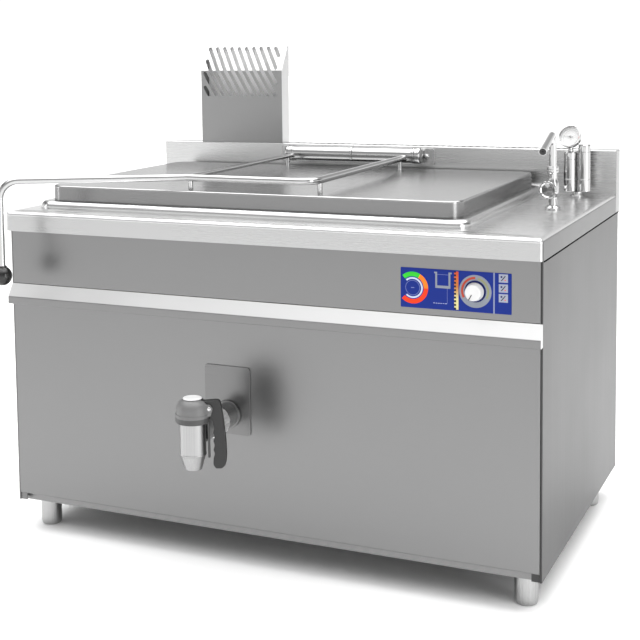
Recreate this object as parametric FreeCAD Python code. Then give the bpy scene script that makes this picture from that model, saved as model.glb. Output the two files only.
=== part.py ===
import FreeCAD, Part
import math
import os

# Gas-heated, steam-jacketed boiling kettle, in millimetres.
# +X points to the right as seen from the front, +Y to the back, +Z up.
# While it is being drawn, X = 0 is the middle of the cabinet, Y = 0 the front edge of the worktop
# and Z = 0 the floor. SHIFT_Y then moves every piece, so that the origin lies under the middle of the whole.

V = FreeCAD.Vector
UP = V(0, 0, 1)
BACK = V(0, 1, 0)
RIGHT = V(1, 0, 0)

# Cabinet and sheet metal
WIDTH = 1400.0
DEPTH = 900.0
DECK_Z = 850.0
SHEET = 1.5
DECK_SHEET = 2.0
BEND = 2.0
APRON_H = 50.0
APRON_ROUND = 10.0
OVERHANG_SIDE = 3.0
OVERHANG_FRONT = 20.0
SPLASH_H = 120.0
SPLASH_T = 50.0
SPLASH_ROUND = 4.0
FIT = 0.3
RUN = 0.05

# Base frame, uprights and feet
FRAME_Z = 78.0
FRAME_H = 40.0
FRAME_FLANGE = 40.0
FRAME_T = 3.0
FRAME_SETBACK = 4.0
FRAME_FRONT_SETBACK = 16.0
UPRIGHT = 40.0
FOOT_X = WIDTH / 2 - 55
FOOT_FRONT_Y = 92.0
FOOT_REAR_Y = DEPTH - 115
FOOT_R = 27.0
FOOT_SOLE_ROUND = 6.0
FOOT_GAP = 2.5
FOOT_TRAVEL = 35.0
STEM_R = 8.0
BOSS_R = 17.0
BOSS_H = 36.0
GUSSET_T = 5.0

# Panels
SIDE_PANEL_Z = 80.0
PANEL_HEM = 5.0
PANEL_LANDING = 24.0
FRONT_PANEL_Z = 98.0
LEDGE_TOP_Z = 660.0
LEDGE_FRONT_Z = 627.0
LEDGE_LIP = 18.0
LEDGE_REACH = 20.0
PANEL_FOLD = 14.0
PANEL_GAP = 2.0
LOUVRES = 12
LOUVRE_PITCH = 22.0
LOUVRE_W = 420.0
LOUVRE_H = 8.0

# Well, raised rim and vessel
WELL_X = -75.0
WELL_Y = 462.0
WELL_W = WIDTH - 340
WELL_D = DEPTH - 250
WELL_ROUND = 42.0
VESSEL_T = 2.5
VESSEL_FLOOR_Z = 430.0
VESSEL_FLOOR_ROUND = 28.0
VESSEL_FLANGE = 18.0
RIM_W = WELL_W + 112
RIM_D = WELL_D + 114
RIM_Y = WELL_Y - 2
RIM_H = 20.0
RIM_ROUND = 45.0
RIM_TOP_ROUND = 10.0
DECK_LAND = 20.0
JACKET_GAP = 32.0
JACKET_T = 3.0
JACKET_Z = 345.0
JACKET_TOP_Z = 700.0
INSULATION_T = 20.0

# Lid and its tube frame
LID_W = WELL_W + 60
LID_D = WELL_D + 62
LID_Y = RIM_Y
LID_H = 39.0
LID_T = 2.0
LID_ROUND = 25.0
LID_EDGE_ROUND = 5.0
LINER_INSET = 30.0
LINER_LIFT = 6.0
TUBE_Z = 940.0
TUBE_R = 9.0
ROD_R = 6.0
POST_R = 5.0
RAIL_X = 113.0
BRACE_X = -235.0
BAR_Y = 127.0
POST_REAR_Y = DEPTH - 145
RAIL_BEND = 45.0
JOINT_BEND = 20.0
HANDLE_X = 52 - WIDTH / 2
HANDLE_Y = -88.0
HANDLE_BEND = 48.0
BALL_Z = 700.0
BALL_R = 25.0

# Lid hinge
HINGE_X = -55.0
HINGE_Y = DEPTH - 80
HINGE_Z = 945.0
HINGE_TUBE_R = 21.0
HINGE_TUBE_T = 3.0
COLLAR_R = 23.5
COLLAR_L = 7.0
HINGE_SPAN = 404.0
LUG_T = 8.0
MIDDLE_LUG_T = 6.0
LUG_R = 22.5
LUG_ARM = 15.5
SHAFT_R = 10.0
SHAFT_BORE = 7.0
END_CAP_L = 11.0
END_CAP_ROUND = 7.0
BUSH_L = 24.0
TORSION_R = 6.0
TORSION_HEAD = 20.0
TORSION_CONE = 6.0
PLATE_L = 484.0
PLATE_H = 48.0
PLATE_Z = 940.0
PLATE_T = 4.0
PLATE_ROUND = 7.0
BOLT_SPAN = 436.0
BOLT_R = 4.0
BOLT_HEAD_R = 7.5
BOLT_HEAD_H = 5.0
BOLT_TOP_R = 5.2
NUT_H = 6.0

# Flue
FLUE_X = 268 - WIDTH / 2
FLUE_W = 275.0
FLUE_BEND_Z = 1190.0
FLUE_TOP_Z = 1265.0
FLUE_TOP_LAND = 6.0
FLUE_DUCT_W = FLUE_W - 25
FLUE_SLOTS = 10
FLUE_SLOT_PITCH = 25.0
FLUE_SLOT_W = 9.5
FLUE_SLOT_DROP = 80.0
FLUE_SLOT_RISE = 55.0
FLUE_SLOT_SLANT = 20.0
FLUE_MARGIN = 16.0
DUCT_T = 1.5
DUCT_FLOOR_Z = 215.0
DUCT_LINK_H = 100.0

# Vent slots along the top of the backsplash
VENT_START_X = FLUE_X + 170
VENT_END_X = WIDTH / 2 - 100
VENT_PITCH = 20.8
VENT_W = 13.0
VENT_D = 26.0

# Burner and gas line
CHAMBER_W = WELL_W - 140
CHAMBER_D = WELL_D - 90
CHAMBER_Z = 190.0
CHAMBER_T = 3.0
BURNERS = 4
BURNER_PITCH = CHAMBER_W / BURNERS - 5
BURNER_R = 24.0
BURNER_Z = 235.0
BURNER_OUT = 32.0
BURNER_MOUTH_R = 21.6
BURNER_THROAT_R = 14.4
BURNER_BORE_R = 12.0
BURNER_WALL = 2.0
PORTS = 9
PORT_PITCH = (CHAMBER_D - 10) / (PORTS + 1)
PORT_W = 30.0
PORT_D = 4.0
MANIFOLD_R = 12.0
MANIFOLD_GAP = 22.0
INJECTOR_R = 5.0
GAS_PIPE_R = 10.65
GAS_VALVE_W = 92.0
GAS_VALVE_H = 70.0
GAS_VALVE_D = 60.0
GAS_VALVE_Y = 46.0
GAS_IN_X = WIDTH / 2 - 122
GAS_OUT_X = GAS_IN_X - 50
GAS_LINE_Z = 150.0
GAS_INLET_Y = 830.0
PIPE_END_Z = 45.0
STOP_Z = 20.0
STOP_H = 8.0
STOP_OUT = 4.0
PIPE_BEND = 26.0

# Control panel
PANEL_X = WIDTH / 2 - 199.5
PANEL_Z = 721.5
PANEL_W = 255.0
PANEL_H = 91.0
OVERLAY_T = 1.0
KNOB_X = PANEL_X + 45.5
KNOB_Z = 722.0
KNOB_R = 22.0
KNOB_FACE_R = 19.5
KNOB_L = 20.0
KNOB_ROUND = 3.0
KNOB_SKIRT = 5.0
KNOB_GROOVE = 1.6
KNOB_TURN = 29.0
SPINDLE_R = 4.0
NECK_R = 11.0

# Drain line and tap
DRAIN_X = -70.0
DRAIN_Y = -162.0
DRAIN_Z = 379.0
DRAIN_PIPE_R = 30.0
DRAIN_PIPE_T = 3.0
SUMP_Y = 200.0
COVER_W = 122.0
COVER_H = 168.0
COVER_X = -71.0
COVER_Z = 414.0
COVER_T = 3.0
COVER_ROUND = 8.0
FLANGE_R = 38.0
FLANGE_L = 7.0
UNION_R = 35.0
UNION_L = 30.0
UNION_Y = -70.0
UNION_FLUTES = 12
UNION_FLUTE_R = 3.5
BODY_R = 30.5
BODY_T = 3.5
BODY_TOP_Z = 409.0
TAPER_Z = 334.0
OUTLET_Z = 299.0
OUTLET_R = 20.0
SEAT_T = 6.0
SEAT_R = 14.0
DISC_R = 16.5
DISC_T = 7.0
SEAL_T = 3.0
VALVE_STEM_R = 5.0
HEAD_R = 12.0
HEAD_T = 4.0
HEAD_Z = 440.0
SPRING_R = 8.5
SPRING_WIRE = 1.8
SPRING_TURNS = 4
CAP_R = 39.5
CAP_BAND = 21.0
CAP_TOP_Z = 464.0
CAP_ROUND = 24.0
CAP_T = 3.5
CAP_STEP = 1.5
CAP_NOTCH = 9.0
SPIGOT_L = 6.0
BUTTON_R = 22.0
BUTTON_T = 2.5
LEVER_TURN = 22.0
LEVER_W = 18.0
PIVOT_S = 39.0
PIVOT_Z = 443.0
EAR_ROOT = 27.5
EAR_T = 5.0
EAR_R = 9.0
PIN_R = 3.0
PIN_HEAD_R = 5.0
PIN_HEAD_T = 2.5
GRIP_IN = 48.0
GRIP_OUT = 78.0
GRIP_Z = 302.0
GROOVES = 4
GROOVE_PITCH = 20.0
GROOVE_R = 11.0
GROOVE_DEPTH = 2.6
GROOVE_Z = 326.0
RIB_IN = 34.5
RIB_W = 5.5
RIB_T = 5.0
RIB_Z = 325.0

# Filling tap on the deck
TAP_X = WIDTH / 2 - 90
TAP_Y = 489.0
TAP_H = 108.0
TAP_CHAMBER_R = 14.5
TAP_OUTLINE = [(20.5, 0, 0), (20.5, 5, 2), (12.5, 9, 3), (9.5, 30, 4), (TAP_CHAMBER_R, 42, 5),
               (TAP_CHAMBER_R, 64, 5), (10.5, 76, 3), (10.5, 90, 2), (14.0, 93, 2), (14.0, TAP_H, 2)]
TAP_BONNET_H = 52.0
TAP_BONNET_R = 10.5
TAP_BONNET_L = 26.0
WHEEL_TURN = 9.0
WHEEL_R = 22.5
WHEEL_BACK_R = 13.5
WHEEL_T = 12.0
WHEEL_RECESS = 3.0
WHEEL_FLUTES = 8
WHEEL_FLUTE_R = 5.0
WHEEL_FLUTE_OUT = 3.1
WHEEL_STEM_R = 5.0
SPOUT_R = 8.0
SPOUT_T = 1.5
SPOUT_H = 191.0
SPOUT_REACH = 200.0
SPOUT_DROP = 30.0
SPOUT_BEND = 22.0
SPOUT_TURN = 6.0
SPOUT_PLUG = 12.0
WATER_PIPE_R = 7.5

# Safety group on the deck
GROUP_X = WIDTH / 2 - 92
GROUP_Y = 788.0
NIPPLE_R = 12.0
NIPPLE_H = 12.0
GROUP_PITCH = 37.0
VALVE_R = 18.0
BREAKER_R = 16.5
GROUP_TOP = 140.0
RING_Z = 44.0
RING_T = 3.0
RING_OUT = 1.0
GAUGE_R = 31.5
GAUGE_D = 20.0
GAUGE_Z = 163.0
GAUGE_FORWARD = 17.0
SAFETY_TOP = 120.0
GAUGE_TILT = 30.0
GAUGE_TURN = 14.0
GAUGE_WALL = 2.0
GAUGE_WELL = 9.0
GAUGE_STEM_R = 6.0
BEZEL_D = 4.0
BEZEL_LIP = 2.0
GLASS_T = 2.0
NEEDLE_L = 22.0
NEEDLE_TAIL = 8.0
NEEDLE_W = 2.2
NEEDLE_T = 1.0
NEEDLE_TIP = 0.8
NEEDLE_LIFT = 2.5
NEEDLE_HUB_R = 3.0
NEEDLE_HUB_T = 3.0
NEEDLE_PIN_R = 1.2
NEEDLE_PIN_L = 5.0
NEEDLE_REST = 160.0
STEAM_PIPE_R = 10.65
STEAM_PIPE_Z = 610.0
STEAM_PORT_Y = WELL_Y + 162

# Places worked out from the sizes above
PANEL_Y = OVERHANG_FRONT
SIDE_X = WIDTH / 2 - OVERHANG_SIDE
SPLASH_Y = DEPTH - SPLASH_T
SPLASH_Z = DECK_Z + SPLASH_H
APRON_Z = DECK_Z - APRON_H
RIM_Z = DECK_Z + RIM_H
LID_Z = RIM_Z + FIT
LID_TOP_Z = LID_Z + LID_H
FRONT_REACH = CAP_R - DRAIN_Y
SHIFT_Y = (FRONT_REACH - DEPTH) / 2
GAUGE_AXIS = V(-math.sin(math.radians(GAUGE_TURN)) * math.cos(math.radians(GAUGE_TILT)),
               -math.cos(math.radians(GAUGE_TURN)) * math.cos(math.radians(GAUGE_TILT)),
               math.sin(math.radians(GAUGE_TILT)))
GAUGE_POINT = V(GROUP_X - GROUP_PITCH / 2, GROUP_Y - GAUGE_FORWARD, DECK_Z + GAUGE_Z)
WHEEL_AXIS = V(-math.sin(math.radians(WHEEL_TURN)), -math.cos(math.radians(WHEEL_TURN)), 0)


# Drawing helpers

def box(low, high):
    return Part.makeBox(high[0] - low[0], high[1] - low[1], high[2] - low[2], V(*low))


def rod(start, end, radius):
    return Part.makeCylinder(radius, (end - start).Length, start, end - start)


def tube(start, end, radius, bore):
    return rod(start, end, radius).cut(rod(start, end, bore))


def joined(first, *others):
    return first.fuse(list(others)).removeSplitter() if others else first


def rounded_face(corners, spot):
    """A face inside corners (u, v, radius), where spot turns (u, v) into a point in space."""
    rounds = []
    for index, (u, v, radius) in enumerate(corners):
        corner = V(u, v, 0)
        before = V(*corners[index - 1][:2], 0) - corner
        after = V(*corners[(index + 1) % len(corners)][:2], 0) - corner
        if not radius:
            rounds.append((corner, corner, corner))
            continue
        half = before.getAngle(after) / 2
        centre = corner + (before.normalize() + after.normalize()).normalize() * (radius / math.sin(half))
        run = radius / math.tan(half)
        middle = centre + (corner - centre).normalize() * radius
        rounds.append((corner + before * run, middle, corner + after * run))
    edges = []
    for index, (start, middle, end) in enumerate(rounds):
        last_end = rounds[index - 1][2]
        if (start - last_end).Length > 1e-6:
            edges.append(Part.LineSegment(spot(last_end.x, last_end.y), spot(start.x, start.y)).toShape())
        if (end - start).Length > 1e-6:
            points = [spot(point.x, point.y) for point in (start, middle, end)]
            edges.append(Part.Arc(*points).toShape())
    return Part.Face(Part.Wire(edges))


def prism(corners, along, start, end):
    """Extrude corners (y, z) along X, (x, z) along Y or (x, y) along Z."""
    spots = {"X": lambda u, v: V(start, u, v),
             "Y": lambda u, v: V(u, start, v),
             "Z": lambda u, v: V(u, v, start)}
    ways = {"X": RIGHT, "Y": BACK, "Z": UP}
    return rounded_face(corners, spots[along]).extrude(ways[along] * (end - start))


def turned(corners, centre, axis=UP):
    """Revolve corners (radius, height, round) about an axis through centre."""
    axis = V(axis).normalize()
    side = axis.cross(RIGHT if abs(axis.x) < 0.9 else BACK).normalize()
    face = rounded_face(corners, lambda u, v: centre + side * u + axis * v)
    return face.revolve(centre, axis, 360)


def folded(path, thick, bend):
    """Corners of a sheet folded along path; its thickness lies to the left of the way along it."""
    near, far = [], []
    for index, point in enumerate(path):
        here = V(*point, 0)
        ways = []
        if index:
            ways.append((here - V(*path[index - 1], 0)).normalize())
        if index < len(path) - 1:
            ways.append((V(*path[index + 1], 0) - here).normalize())
        normals = [V(-way.y, way.x, 0) for way in ways]
        if len(ways) == 1:
            near.append((here.x, here.y, 0))
            offset = here + normals[0] * thick
            far.append((offset.x, offset.y, 0))
            continue
        offset = here + (normals[0] + normals[1]) * (thick / (1 + normals[0].dot(normals[1])))
        outside = bend + abs(thick)
        turns_to_far = ways[0].cross(ways[1]).z * thick > 0
        near.append((here.x, here.y, outside if turns_to_far else bend))
        far.append((offset.x, offset.y, bend if turns_to_far else outside))
    return near + far[::-1]


def rectangle(centre_u, centre_v, width, height, radius):
    left, right = centre_u - width / 2, centre_u + width / 2
    low, high = centre_v - height / 2, centre_v + height / 2
    return [(left, low, radius), (right, low, radius), (right, high, radius), (left, high, radius)]


def edges_at(solid, height):
    """The edges of a solid that lie wholly at one height."""
    return [edge for edge in solid.Edges
            if all(abs(vertex.Point.z - height) < 1e-4 for vertex in edge.Vertexes)]


def round_top(solid, radius):
    """Round the upper outer edges of a solid with a flat top."""
    return solid.makeFillet(radius, edges_at(solid, solid.BoundBox.ZMax))


def pipe(points, radius, bend, bore=0):
    """A tube along straight runs joined by tangent arcs; bend is one radius or one for each inner point."""
    bends = bend if isinstance(bend, list) else [bend] * (len(points) - 2)
    edges = []
    start = points[0]
    for index, turn in enumerate(bends):
        corner = points[index + 1]
        before = (points[index] - corner).normalize()
        after = (points[index + 2] - corner).normalize()
        half = before.getAngle(after) / 2
        centre = corner + (before + after).normalize() * (turn / math.sin(half))
        run = turn / math.tan(half)
        edges.append(Part.LineSegment(start, corner + before * run).toShape())
        middle = centre + (corner - centre).normalize() * turn
        edges.append(Part.Arc(corner + before * run, middle, corner + after * run).toShape())
        start = corner + after * run
    edges.append(Part.LineSegment(start, points[-1]).toShape())
    path = Part.Wire(edges)

    def swept(size):
        circle = Part.makeCircle(size, points[0], points[1] - points[0])
        return path.makePipeShell([Part.Wire(circle)], True, False)
    return swept(radius).cut(swept(bore)) if bore else swept(radius)


def stood(shape, centre, axis):
    """Tilt a shape drawn about +Z at the origin so that it points along axis from centre."""
    shape = shape.copy()
    shape.Placement = FreeCAD.Placement(centre, FreeCAD.Rotation(UP, axis)).multiply(shape.Placement)
    return shape


def pipe_stop(x, y, radius):
    """Ring on a supply pipe that stops a coupling pushed on from below."""
    low = V(x, y, PIPE_END_Z + STOP_Z)
    return tube(low, low + UP * STOP_H, radius + STOP_OUT, radius - FIT)


def ring_of(shape, count, centre, axis):
    copies = []
    for index in range(count):
        copy = shape.copy()
        copy.rotate(centre, axis, 360 * index / count)
        copies.append(copy)
    return copies


# Cabinet

def cabinet_frame():
    """Welded frame: a ring of angle, a gusset with a threaded boss for each foot, and four uprights."""
    x, front, rear = SIDE_X - FRAME_SETBACK, PANEL_Y + FRAME_FRONT_SETBACK, DEPTH - FRAME_SETBACK
    top = FRAME_Z + FRAME_H
    ring = box((-x, front, FRAME_Z), (x, rear, top))
    for inset, lift in ((FRAME_T, FRAME_T), (FRAME_FLANGE, 0)):
        ring = ring.cut(box((inset - x, front + inset, FRAME_Z + lift), (x - inset, rear - inset, top)))
    gusset_z = FRAME_Z + FRAME_T
    reach = BOSS_R + 8
    pieces, bores = [], []
    for side in (-1, 1):
        for foot_y, edge_y in ((FOOT_FRONT_Y, front + FRAME_T), (FOOT_REAR_Y, rear - FRAME_T)):
            near_x, far_x = sorted((side * (x - FRAME_T), side * (FOOT_X - reach)))
            inner_y = foot_y + reach if foot_y < DEPTH / 2 else foot_y - reach
            near_y, far_y = sorted((edge_y, inner_y))
            pieces.append(box((near_x, near_y, gusset_z), (far_x, far_y, gusset_z + GUSSET_T)))
            centre = V(side * FOOT_X, foot_y, gusset_z)
            pieces.append(rod(centre, centre + UP * BOSS_H, BOSS_R))
            bores.append(rod(centre - UP * FRAME_T, centre + UP * BOSS_H, STEM_R + RUN))
    return joined(ring, *pieces, *uprights()).cut(bores)


def uprights():
    """Four angles inside the ring's corners, from its flange to the underside of the deck."""
    x = SIDE_X - FRAME_SETBACK - FRAME_T
    front, rear = PANEL_Y + FRAME_FRONT_SETBACK + FRAME_T, DEPTH - FRAME_SETBACK - FRAME_T
    bottom, top = FRAME_Z + FRAME_T, DECK_Z - DECK_SHEET
    solids = []
    for side in (-1, 1):
        outer_x, web_x, inner_x = side * x, side * (x - FRAME_T), side * (x - UPRIGHT)
        for outer_y, way in ((front, 1), (rear, -1)):
            web_y, inner_y = outer_y + way * FRAME_T, outer_y + way * UPRIGHT
            outline = [(outer_x, outer_y, 0), (inner_x, outer_y, 0), (inner_x, web_y, 0),
                       (web_x, web_y, FRAME_T), (web_x, inner_y, 0), (outer_x, inner_y, 0)]
            solids.append(prism(outline, "Z", bottom, top))
    return solids


def foot(side, foot_y):
    """Levelling foot: a cup with a rounded sole, on a stem that runs in the boss of the frame."""
    cup_top = FRAME_Z - FOOT_GAP
    stem_top = FRAME_Z + FRAME_T + BOSS_H + FOOT_TRAVEL / 2
    profile = [(0, 0, 0), (FOOT_R, 0, FOOT_SOLE_ROUND), (FOOT_R, cup_top, 1.5), (STEM_R, cup_top, 0),
               (STEM_R, stem_top, 1), (0, stem_top, 0)]
    return turned(profile, V(side * FOOT_X, foot_y, 0))


def side_panel(side):
    """Side skin with a hem at the front edge, a landing for the front panels and a fold at the back."""
    skin, hem, landing = side * SIDE_X, side * (SIDE_X - PANEL_HEM), side * (SIDE_X - PANEL_LANDING)
    hem_y, rear_y = PANEL_Y + 2 * SHEET, DEPTH - DECK_SHEET - FIT
    path = [(landing, hem_y), (hem, hem_y), (hem, PANEL_Y), (skin, PANEL_Y), (skin, rear_y),
            (landing, rear_y)]
    corners = folded(path, side * SHEET, SHEET / 3)
    return prism(corners, "Z", SIDE_PANEL_Z, DECK_Z - APRON_ROUND - FIT)


def rear_panel():
    """Flat rear skin with rows of louvre slots for the burner's air."""
    x = SIDE_X - PANEL_GAP
    panel = box((-x, DEPTH - SHEET, SIDE_PANEL_Z), (x, DEPTH, APRON_Z - FIT))
    for row in range(LOUVRES):
        z = FRONT_PANEL_Z + FRAME_H + row * LOUVRE_PITCH
        panel = panel.cut(prism(rectangle(WELL_X, z, LOUVRE_W, LOUVRE_H, LOUVRE_H / 2 - 0.1), "Y",
                                DEPTH - 2 * SHEET, DEPTH + SHEET))
    return panel


def front_sheet(bottom, top):
    """A front panel between the side panels' hems; its folds at top and bottom clear their landings."""
    path = [(PANEL_Y + PANEL_FOLD, bottom), (PANEL_Y, bottom), (PANEL_Y, top), (PANEL_Y + PANEL_FOLD, top)]
    corners = folded(path, -SHEET, SHEET)
    x, fold_x = SIDE_X - PANEL_HEM - FIT, SIDE_X - PANEL_LANDING - FIT
    low_y, high_y = PANEL_Y + 2 * SHEET - FIT, PANEL_Y + PANEL_FOLD + 1
    return prism(corners, "X", -x, x).cut([box((-x - 1, low_y, bottom - 1), (-fold_x, high_y, top + 1)),
                                           box((fold_x, low_y, bottom - 1), (x + 1, high_y, top + 1))])


def fascia():
    panel = front_sheet(LEDGE_TOP_Z, APRON_Z + APRON_H / 2)
    centre = V(KNOB_X, 0, KNOB_Z)
    return panel.cut(rod(centre, centre + BACK * (PANEL_Y + PANEL_FOLD), NECK_R / 2 + FIT))


def lower_front_panel():
    panel = front_sheet(FRONT_PANEL_Z, LEDGE_FRONT_Z - LEDGE_LIP - PANEL_GAP)
    centre = V(DRAIN_X, 0, DRAIN_Z)
    return panel.cut(rod(centre, centre + BACK * (PANEL_Y + PANEL_FOLD), DRAIN_PIPE_R + 2 * FIT))


def front_ledge():
    """Hollow drip ledge across the front: a sloping top, an upright lip and a level underside."""
    lip_z = LEDGE_FRONT_Z - LEDGE_LIP
    front = PANEL_Y - LEDGE_REACH
    outer = [(PANEL_Y, lip_z, 0), (front, lip_z, 1.5), (front, LEDGE_FRONT_Z, 3), (PANEL_Y, LEDGE_TOP_Z, 0)]
    slope = (LEDGE_TOP_Z - LEDGE_FRONT_Z) / LEDGE_REACH
    drop = SHEET * math.hypot(1, slope)
    low, near = lip_z + SHEET, front + SHEET
    inner = [(PANEL_Y + 1, low, 0), (near, low, 0), (near, LEDGE_FRONT_Z + slope * SHEET - drop, 0),
             (PANEL_Y + 1, LEDGE_TOP_Z + slope - drop, 0)]
    return prism(outer, "X", -SIDE_X, SIDE_X).cut(prism(inner, "X", SHEET - SIDE_X, SIDE_X - SHEET))


def control_overlay():
    """The printed foil of the control panel, stuck to the fascia."""
    foil = prism(rectangle(PANEL_X, PANEL_Z, PANEL_W, PANEL_H, 2), "Y", PANEL_Y - OVERLAY_T, PANEL_Y)
    centre = V(KNOB_X, 0, KNOB_Z)
    return foil.cut(rod(centre, centre + BACK * PANEL_Y, NECK_R / 2 + FIT))


# Worktop, rim and backsplash

def deck_block(inset):
    """The worktop's outer form, or its hollow when inset by the sheet's thickness."""
    x = WIDTH / 2 - inset
    radius = APRON_ROUND - inset
    outline = [(-x, inset, radius), (x, inset, radius), (x, DEPTH, 0), (-x, DEPTH, 0)]
    block = prism(outline, "Z", APRON_Z - inset, DECK_Z - inset)
    edges = [edge for edge in edges_at(block, block.BoundBox.ZMax) if edge.BoundBox.YMin < DEPTH - 1]
    return block.makeFillet(radius, edges)


def worktop():
    """Pressed deck with its apron folded down on three sides and an opening for the well."""
    deck = deck_block(0).cut(deck_block(DECK_SHEET))
    deck = deck.cut(box((-WIDTH, SPLASH_Y, 0), (WIDTH, DEPTH + 1, DECK_Z + 1)))
    hole = rectangle(WELL_X, RIM_Y, RIM_W - 2 * DECK_LAND, RIM_D - 2 * DECK_LAND, RIM_ROUND - DECK_LAND)
    deck = deck.cut(prism(hole, "Z", APRON_Z, DECK_Z + 1))
    for x, y, radius in ((TAP_X, TAP_Y, WATER_PIPE_R + 2 * FIT), (GROUP_X, GROUP_Y, STEAM_PIPE_R + 2 * FIT)):
        deck = deck.cut(rod(V(x, y, APRON_Z), V(x, y, DECK_Z + 1), radius))
    return deck


def well_rim():
    """Raised rim round the well, pressed from sheet, on which the lid's skirt rests."""
    block = prism(rectangle(WELL_X, RIM_Y, RIM_W, RIM_D, RIM_ROUND), "Z", DECK_Z, RIM_Z)
    block = round_top(block, RIM_TOP_ROUND)
    wall = 2 * DECK_SHEET
    hollow = prism(rectangle(WELL_X, RIM_Y, RIM_W - wall, RIM_D - wall, RIM_ROUND - DECK_SHEET), "Z",
                   DECK_Z - 1, RIM_Z - DECK_SHEET)
    hollow = round_top(hollow, RIM_TOP_ROUND - DECK_SHEET)
    mouth = prism(rectangle(WELL_X, WELL_Y, WELL_W, WELL_D, WELL_ROUND), "Z", DECK_Z, RIM_Z + 1)
    return block.cut(hollow).cut(mouth)


def splash_block(inset):
    x = WIDTH / 2 - inset
    block = box((-x, SPLASH_Y + inset, APRON_Z - inset), (x, DEPTH - inset, SPLASH_Z - inset))
    return round_top(block, SPLASH_ROUND - inset)


def backsplash():
    """Hollow upstand along the back, with vent slots on top and the flue's opening."""
    shell = splash_block(0).cut(splash_block(DECK_SHEET))
    inside = WIDTH / 2 - DECK_SHEET
    shell = shell.cut(box((-inside, SPLASH_Y - 1, APRON_Z - 1),
                          (inside, SPLASH_Y + DECK_SHEET, DECK_Z - APRON_ROUND)))
    middle_y = SPLASH_Y + SPLASH_T / 2
    slots = []
    count = int((VENT_END_X - VENT_START_X) / VENT_PITCH) + 1
    for index in range(count):
        x = VENT_START_X + index * VENT_PITCH
        slots.append(box((x, middle_y - VENT_D / 2, SPLASH_Z - 2 * DECK_SHEET),
                         (x + VENT_W, middle_y + VENT_D / 2, SPLASH_Z + 1)))
    slots.append(box((FLUE_X - FLUE_DUCT_W / 2 - FIT, SPLASH_Y + SPLASH_ROUND, SPLASH_Z - 2 * DECK_SHEET),
                     (FLUE_X + FLUE_DUCT_W / 2 + FIT, DEPTH - SPLASH_ROUND, SPLASH_Z + 1)))
    for side in (-1, 1):
        bolt = V(HINGE_X + side * BOLT_SPAN / 2, SPLASH_Y - 1, PLATE_Z)
        slots.append(rod(bolt, bolt + BACK * 2 * DECK_SHEET, BOLT_R + FIT))
    return shell.cut(slots)


def flue_profile(inset):
    """Side outline of the flue: an upright front, a slope back to a narrow top land and an upright back."""
    front, back = SPLASH_Y + inset, DEPTH - inset
    land = back - FLUE_TOP_LAND
    rise = (FLUE_TOP_Z - FLUE_BEND_Z) / (SPLASH_T - FLUE_TOP_LAND)
    drop = inset * (math.hypot(1, rise) - rise)
    return [(front, SPLASH_Z - inset, 0), (back, SPLASH_Z - inset, 0), (back, FLUE_TOP_Z - inset, 0),
            (land, FLUE_TOP_Z - inset, 0), (front, FLUE_BEND_Z - drop, 0)]


def flue_chimney():
    """Sheet-metal flue head with slanting outlet slots that run across the bend in its front."""
    half = FLUE_W / 2
    shell = prism(flue_profile(0), "X", FLUE_X - half, FLUE_X + half)
    shell = shell.cut(prism(flue_profile(SHEET), "X", FLUE_X - half + SHEET, FLUE_X + half - SHEET))
    low, high = FLUE_BEND_Z - FLUE_SLOT_DROP, FLUE_BEND_Z + FLUE_SLOT_RISE
    lean = (high - low) * math.tan(math.radians(FLUE_SLOT_SLANT)) / 2
    side = half - FLUE_MARGIN
    window = box((FLUE_X - side, SPLASH_Y - 1, low), (FLUE_X + side, DEPTH - 2 * SHEET, high))
    slots = []
    for index in range(-1, FLUE_SLOTS + 1):
        x = FLUE_X + (index - (FLUE_SLOTS - 1) / 2) * FLUE_SLOT_PITCH
        outline = [(x + lean, low, 0), (x + lean + FLUE_SLOT_W, low, 0), (x - lean + FLUE_SLOT_W, high, 0),
                   (x - lean, high, 0)]
        slot = prism(outline, "Y", SPLASH_Y - 1, DEPTH - 2 * SHEET).common(window)
        if slot.Volume > 1:
            slots.append(slot)
    return shell.cut(slots)


# Vessel, jacket and burner

def well_form(extra, low, high):
    """A block with the well's outline, larger by extra all round."""
    outline = rectangle(WELL_X, WELL_Y, WELL_W + 2 * extra, WELL_D + 2 * extra, WELL_ROUND + extra)
    return prism(outline, "Z", low, high)


def inner_vessel():
    """Food vessel with rounded corners, a flange under the rim and a sump hole in its floor."""
    def form(extra, low, high):
        block = well_form(extra, low, high)
        return block.makeFillet(VESSEL_FLOOR_ROUND + extra, edges_at(block, block.BoundBox.ZMin))
    top = RIM_Z - DECK_SHEET
    vessel = form(VESSEL_T, VESSEL_FLOOR_Z - VESSEL_T, top)
    flange = well_form(VESSEL_FLANGE, top - VESSEL_T, top)
    inside = form(0, VESSEL_FLOOR_Z, top + 1)
    sump = V(DRAIN_X, SUMP_Y, VESSEL_FLOOR_Z - 2 * VESSEL_T)
    drain = rod(sump, sump + UP * 4 * VESSEL_T, DRAIN_PIPE_R - DRAIN_PIPE_T)
    return joined(vessel, flange).cut(inside).cut(drain)


def steam_jacket():
    """Steam jacket round the lower vessel, with the drain pipe passing through its front wall."""
    outer = well_form(JACKET_GAP, JACKET_Z, JACKET_TOP_Z)
    inner = well_form(JACKET_GAP - JACKET_T, JACKET_Z + JACKET_T, JACKET_TOP_Z - JACKET_T)
    vessel = well_form(VESSEL_T, VESSEL_FLOOR_Z - VESSEL_T, JACKET_TOP_Z + 1)
    centre = V(DRAIN_X, 0, DRAIN_Z)
    return outer.cut(inner).cut(vessel).cut(rod(centre, centre + BACK * WELL_Y, DRAIN_PIPE_R))


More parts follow.
